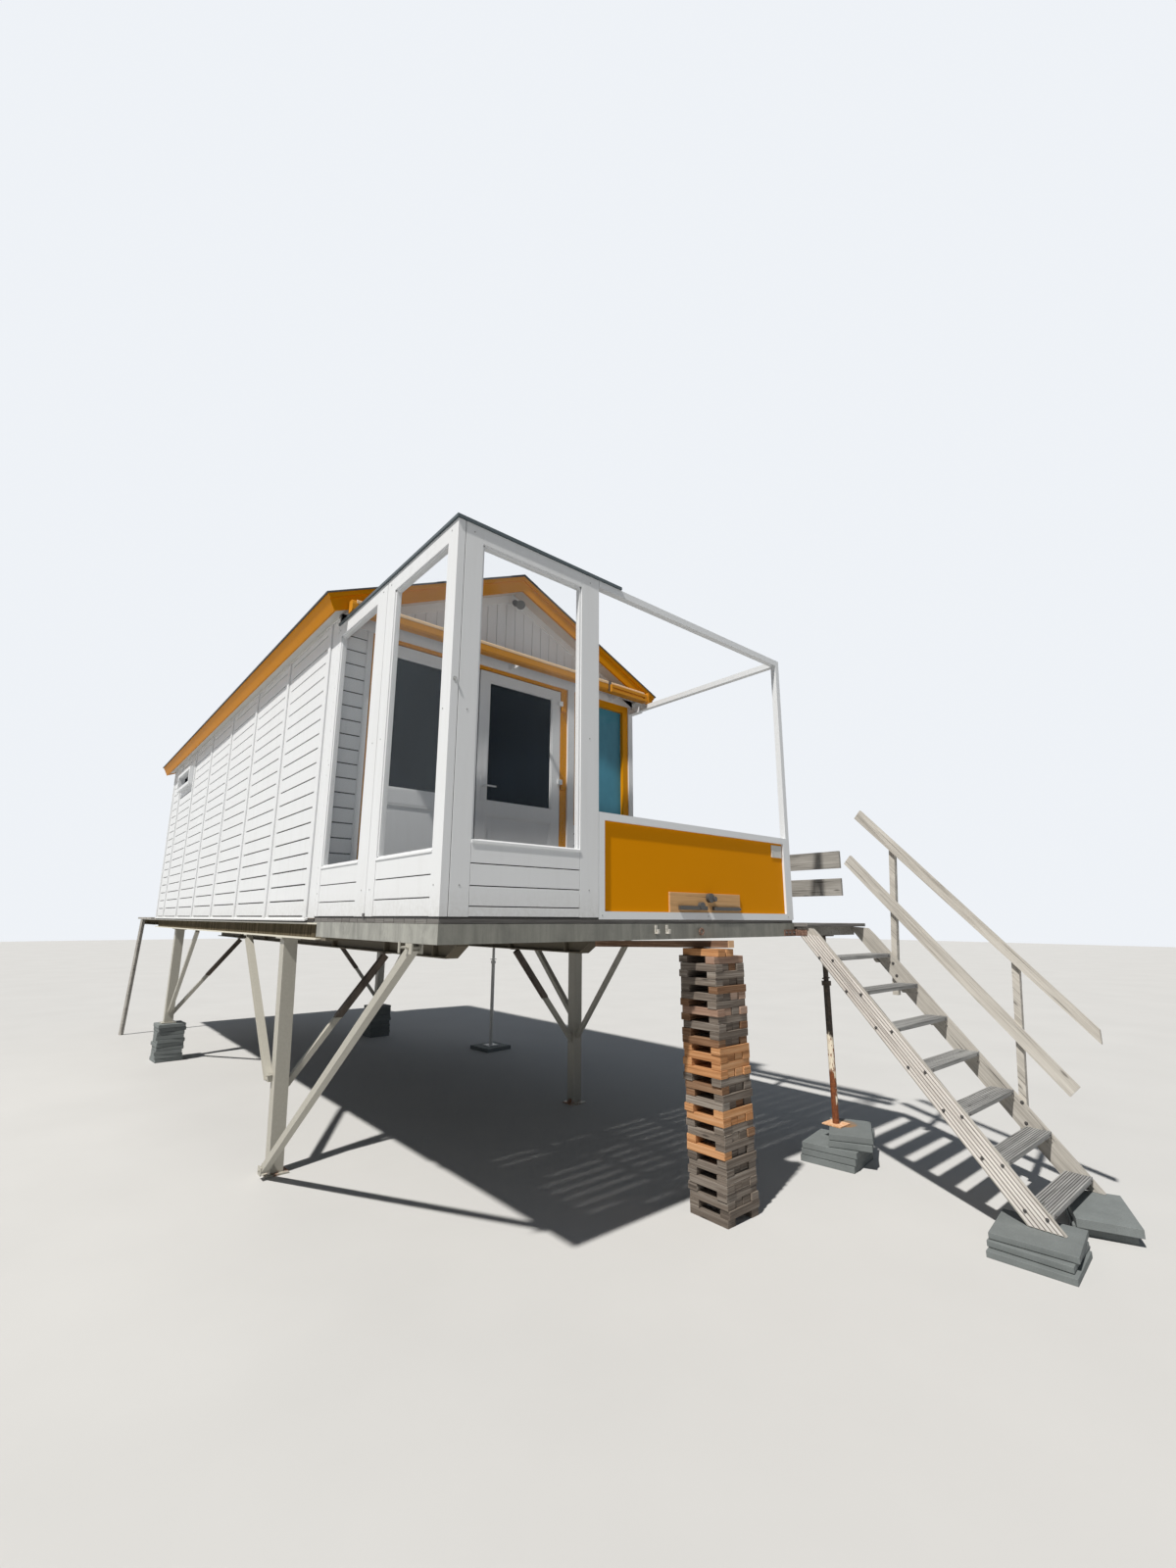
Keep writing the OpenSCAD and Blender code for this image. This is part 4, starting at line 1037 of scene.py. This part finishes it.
def stair_slabs():
    """Three slabs below the near stringer and two below the far one."""
    near, far = 0.0347, 0.052
    slab_stack("stair_slabs", [
        (2.931, -1.411, 0.0, 0.404, 0.404, near, 4), (2.966, -1.400, near, 0.390, 0.390, near, 3),
        (3.005, -1.397, 2 * near, 0.405, 0.405, 0.0346, 7), (3.690, -1.510, 0.0, 0.500, 0.300, far, 20),
        (3.655, -1.535, far, 0.510, 0.310, far, 22)])


# Glazed veranda walls and balustrade; heights in these functions count from the floor

# Height and thickness of a glazed panel
PANEL_H = 2.105
PANEL_T = 0.045


def veranda_panels():
    """Stiles, rails, lower boards and glazing beads, with dark joints as the second material, painted shade
    with dirt.
    """
    ver = Shape()

    def side(y0, y1, z0, z1, x0=0.0, x1=PANEL_T, along="z", kind=0):
        ver.kind = kind
        ver.box((x0, y0, DECK + z0), (x1, y1, DECK + z1), along, tone())

    def front(x0, x1, z0, z1, y0=0.0, y1=PANEL_T, along="z", kind=0):
        side(y0, y1, z0, z1, x0, x1, along, kind)

    def weather_bar(z, out, lip, axis, a, b):
        """Bar with a sloping top below a pane; its outer edge ends at the height lip above z."""
        ver.kind = 0
        ver.prism([(-out, DECK + z - 0.012), (0.018, DECK + z - 0.012), (0.018, DECK + z + 0.012),
                   (-out, DECK + z + lip)], axis, a, b, axis, tone())

    foot, bead = 0.010, 0.012
    for y0, y1 in ((0.0, 0.104), (0.780, 0.892), (0.897, 1.050), (1.690, CAB_Y0)):
        side(y0, y1, foot, PANEL_H)
    side(0.892, 0.897, 0.0, PANEL_H, 0.008, kind=1)
    side(0.004, CAB_Y0, 0.0, foot, 0.004, kind=1)
    for y0, y1, sill, head in ((0.104, 0.780, 0.332, 2.000), (1.050, 1.690, 0.335, 2.010)):
        side(y0, y1, head, PANEL_H, along="y")
        side(y0, y1, foot, sill, 0.010, 0.042, "y", 1)
        for z0, z1 in ((0.012, 0.098), (0.104, 0.209), (0.215, sill)):
            side(y0 + 0.002, y1 - 0.002, z0, z1, 0.002, 0.011, "y")
        weather_bar(sill, 0.004, -0.002, "y", y0, y1)
        for a, b, z0, z1 in ring(y0, y1, sill, head, bead):
            side(a, b, z0, z1, 0.008, 0.040, "y" if b - a > 0.1 else "z")

    end = 1.0035
    x0, x1, sill, head = 0.158, 0.862, 0.379, 2.010
    for a, b in ((0.0485, x0), (x1, end)):
        front(a, b, foot, PANEL_H)
    front(0.046, end, 0.0, foot, 0.004, kind=1)
    front(PANEL_T, 0.0485, 0.0, PANEL_H, 0.004, kind=1)
    front(end, 1.0060, 0.0, PANEL_H, 0.004, kind=1)
    front(x0, x1, head, PANEL_H, along="x")
    front(x0, x1, foot, sill, 0.010, 0.042, "x", 1)
    for z0, z1 in ((0.012, 0.057), (0.063, 0.157), (0.163, 0.267), (0.273, 0.376)):
        front(x0 + 0.002, x1 - 0.002, z0, z1, 0.0, 0.011, "x")
    weather_bar(0.382, 0.006, 0.002, "x", x0, x1)
    for a, b, z0, z1 in ring(x0, x1, sill, head, bead):
        front(a, b, z0, z1, 0.008, 0.040, "x" if b - a > 0.1 else "z")
    ver.object("veranda_panels", [white_boards, groove_dirt_and_shade], nodes=["veranda_panels"], slot="white_paint",
               bevel=0.0016, segments=2)


def balustrade():
    """Ochre sheet, the brown board that carries the catch, and the blank plate with two screws."""
    sheet = Shape()
    sheet.box((1.051, 0.017, DECK + 0.045), (2.915, 0.027, DECK + 0.575), "x")
    sheet.object("balustrade_sheet", ochre_sheet, nodes=["balustrade_panel"], slot="ochre_panel", bevel=0.001)
    board = Shape()
    board.box((1.610, 0.005, DECK + 0.045), (2.340, 0.018, DECK + 0.172), "x", 0.6)
    board.object("catch_board", plywood, nodes=["balustrade_panel"], slot="ochre_panel", bevel=0.0015)
    plate = Shape()
    plate.box((2.772, 0.011, DECK + 0.466), (2.905, 0.018, DECK + 0.560), "x", 0.6)
    for x in (2.782, 2.895):
        plate.bolt((x, 0.011, DECK + 0.513), (0, -1, 0), 0.003)
    plate.object("blank_plate", white_zinc, nodes=["balustrade_panel"], slot="white_metal", bevel=0.0015)


def door_trim(name, x0, body):
    """Glazing beads and stepped mouldings on the leaf whose left edge is at x0."""
    t = Shape()
    leaf, stile = 0.868, 0.092
    a, b = x0 + stile, x0 + leaf - stile
    face = CAB_Y0 + 0.005

    def bars(z0, z1, inset, w, near, far):
        for p, q, low, high in ring(a + inset, b - inset, z0 + inset, z1 - inset, w, w):
            t.box((p, face + near, low), (q, face + far, high), "x" if q - p > 0.1 else "z", tone())

    bars(DECK + 0.955, DECK + 2.008, 0.0, 0.013, 0.004, 0.018)
    bars(DECK + 0.150, DECK + 0.845, 0.0, 0.016, 0.001, 0.008)
    bars(DECK + 0.150, DECK + 0.845, 0.016, 0.010, 0.004, 0.008)
    t.object(name, white_boards, body, slot="white_paint", bevel=0.0012)


# Ribs, grooves and bolts of the stair

# Front edge and top of the highest tread, going, riser and number of treads
TREAD_Y, TREAD_Z = -0.310, 1.513
GOING, RISER = 0.193, 0.2203
TREADS = [(TREAD_Y - GOING * i, TREAD_Z - RISER * i) for i in range(7)]

# Outer faces of the near stringer's ribs and of the far stringer
NEAR_X, FAR_X = 3.0235, 3.912


def stringer_ribs():
    """Six flat ribs down the near stringer, over a darker ground."""
    ribs = Shape()
    count, edge = 6, 0.14
    top = [(-0.186, 1.656), (-0.014, 1.688)]
    foot = [(-1.515, 0.108), (-1.345, 0.108)]
    for k in range(count):
        t0, t1 = (k + edge) / count, (k + 1 - edge) / count
        ribs.prism([lerp(*top, t0), lerp(*top, t1), lerp(*foot, t1), lerp(*foot, t0)],
                   "x", NEAR_X, 3.0268, tint=tone())
    ribs.kind = 1
    ribs.prism([*top, *reversed(foot)], "x", 3.0266, 3.0275)
    ribs.object("stringer_ribs", [rib_wood, rib_groove], slot="grooved_planks", bevel=0.0008)


def tread_grooves():
    """Dirt and painted shade in the nine grooves of each tread."""
    grooves = Shape()
    for y, z in TREADS:
        for k in range(9):
            a = y + 0.0103 + 0.015 * k
            grooves.box((3.055, a, z - 0.0029), (3.884, a + 0.0044, z - 0.0024), "x")
    grooves.object("tread_grooves", groove_dirt_and_shade, slot="grooved_planks")


def stair_bolts():
    """Bolts of treads, cleats, posts and trim, and the dark catch between the left side panels."""
    bolts = Shape()
    for y, z in TREADS:
        for dy, dz in ((0.025, -0.024), (0.130, -0.011)):
            bolts.bolt((NEAR_X, y + dy, z + dz), (-1, 0, 0), 0.006)
            bolts.bolt((FAR_X, y + dy, z + dz), (1, 0, 0), 0.006)
        for x in (3.085, 3.848):
            bolts.bolt((x, y, z - 0.0135), (0, -1, 0), 0.004)
    for y, z in ((-0.326, 1.437), (-0.347, 1.343), (-1.125, 0.560), (-1.134, 0.430)):
        bolts.bolt((3.957, y, z), (1, 0, 0), 0.009)
        bolts.bolt((3.885, y, z), (-1, 0, 0), 0.007)
    for x in (2.885, 2.93, 2.985):
        bolts.bolt((x, -0.007, 1.682), (0, -1, 0), 0.006)
    bolts.box((-0.006, 0.884, 1.779), (0.0, 0.908, 1.803), "z")
    bolts.object("stair_bolts", iron, slot="dark_fittings")


# Small things: the awning's cloth and strap, screw heads and a hook

def awning_cloth():
    """Narrow lip of the rolled cloth along the top edge of the awning's case."""
    roll = Shape()
    roll.prism([(1.4885, 3.974), (1.494, 3.974), (1.494, 3.992), (1.504, 4.001), (1.500, 4.0045),
                (1.4885, 3.996)], "x", 0.02, 2.94, "x", 0.6)
    peach = paint("peach_cloth", (0.80, 0.58, 0.36), (0.66, 0.44, 0.24), "x", 0.35, 0.8)
    roll.object("awning_cloth", peach, slot="ochre_metal", bevel=0.002)


def awning_strap():
    """Dark strap down the front and over the top of the awning's case."""
    strap = Shape()
    x0, x1 = 2.452, 2.482
    strap.box((x0, 1.4865, 3.900), (x1, 1.4905, 3.997), "z")
    strap.box((x0, 1.4865, 3.9965), (x1, 1.545, 4.0022), "y")
    strap.object("awning_strap", iron, slot="dark_fittings")


def screw_heads():
    """Screws of the glazed panels and of the balustrade's lower edge."""
    dots = Shape()
    inside, outside, r = 0.001, -0.002, 0.0045
    heights = (0.16, 1.05, 2.06)
    for y in (0.07, 0.84, 0.96, 1.72):
        for z in heights:
            dots.rod((inside, y, DECK + z), (outside, y, DECK + z), r, sides=10)
    for x in (0.10, 0.93):
        for z in heights:
            dots.rod((x, inside, DECK + z), (x, outside, DECK + z), r, sides=10)
    for x in (1.03, 1.98, 2.93):
        dots.rod((x, inside, DECK + 0.022), (x, outside, DECK + 0.022), r, sides=10)
    dots.object("screw_heads", zinc, slot="galvanised_trim")


def post_hook():
    """Small hook on the corner post of the veranda."""
    hook = Shape()
    hook.rod((0.022, 0.001, 2.973), (0.022, -0.003, 2.973), 0.011)
    hook.rod((0.022, -0.003, 2.973), (0.022, -0.009, 2.971), 0.0045)
    hook.rod((0.022, -0.009, 2.975), (0.030, -0.009, 2.950), 0.0045)
    hook.object("post_hook", zinc, slot="galvanised_trim")


# All pieces in one fixed order, because the random tints follow it

side_wall("wall_left", WALL, -1, SIDE_WINDOW)
side_wall("wall_right", WIDTH - WALL, 1)
rear_wall()
front_wall_left()
front_wall_right()
front_gable()
roofing()
veranda_floor()
walkway_deck()
crib_stack()
rear_slabs()
prop_slabs()
stair_slabs()
veranda_panels()
balustrade()
door_trim("left_leaf_beads", 0.326, "left_leaf")
door_trim("right_leaf_beads", 1.206, "right_leaf")
stringer_ribs()
tread_grooves()
stair_bolts()
awning_cloth()
awning_strap()
screw_heads()
post_hook()

# Floor, light and camera

deep = Shape()
deep.box((-60, -60, -0.02), (60, 60, 0.0), "x")
ground = deep.object("studio_floor", floor_look())

scene = bpy.context.scene
scene.view_settings.view_transform = "Standard"

# World: weak blue light, and a pale backdrop for what the camera sees, also by glass and reflections
world = bpy.data.worlds.new("studio")
scene.world = world
world.use_nodes = True
wt = world.node_tree


def world_node(kind, *sources):
    """New node of the world with its first inputs linked."""
    n = wt.nodes.new("ShaderNode" + kind)
    for socket, source in zip(n.inputs, sources):
        wt.links.new(source, socket)
    return n


back = wt.nodes["Background"]
back.inputs["Color"].default_value = (0.72, 0.84, 1.0, 1)
back.inputs["Strength"].default_value = 0.14
pale = world_node("Background")
pale.inputs["Color"].default_value = (0.86, 0.89, 0.93, 1)
pale.inputs["Strength"].default_value = 1.0
rays = world_node("LightPath").outputs
seen = world_node("Math", rays["Is Camera Ray"], rays["Is Transmission Ray"])
seen.operation = "MAXIMUM"
both = world_node("Math", seen.outputs[0], rays["Is Glossy Ray"])
both.operation = "MAXIMUM"
blend = world_node("MixShader", both.outputs[0], back.outputs[0], pale.outputs[0])
wt.links.new(blend.outputs[0], wt.nodes["World Output"].inputs["Surface"])

# High sun from the left, a little in front
lamp = bpy.data.lights.new("sun", "SUN")
lamp.energy = 4.42
lamp.angle = 0.03
lamp.color = (1.0, 0.965, 0.91)
sun = bpy.data.objects.new("sun", lamp)
scene.collection.objects.link(sun)
sun.rotation_euler = Vector((-0.655, -0.175, 1.0)).to_track_quat("Z", "Y").to_euler()

# Camera: view turned from +Y to the right, upwards and rolled; focal length and height of the photo in
# its pixels, width of the sensor and place of the lens
YAW, RISE, ROLL = math.radians(40.64), math.radians(11.86), math.radians(0.25)
FOCAL_PX, PHOTO_PX = 654.8, 1600
SENSOR = 36.0
LENS_AT = (-1.471 - OX, -2.784 - OY, 1.778)

view = Vector((math.sin(YAW) * math.cos(RISE), math.cos(YAW) * math.cos(RISE), math.sin(RISE)))
flat = Vector((math.cos(YAW), -math.sin(YAW), 0.0))
up = flat.cross(view)
right = flat * math.cos(ROLL) + up * math.sin(ROLL)
top_dir = up * math.cos(ROLL) - flat * math.sin(ROLL)
cam = bpy.data.cameras.new("camera")
cam.sensor_width = SENSOR
cam.sensor_fit = "AUTO"
cam.lens = FOCAL_PX / PHOTO_PX * SENSOR
cam.clip_start = 0.05
cam.clip_end = 200
camera = bpy.data.objects.new("camera", cam)
scene.collection.objects.link(camera)
pose = Matrix((right, top_dir, -view)).transposed().to_4x4()
pose.translation = LENS_AT
camera.matrix_world = pose
scene.camera = camera
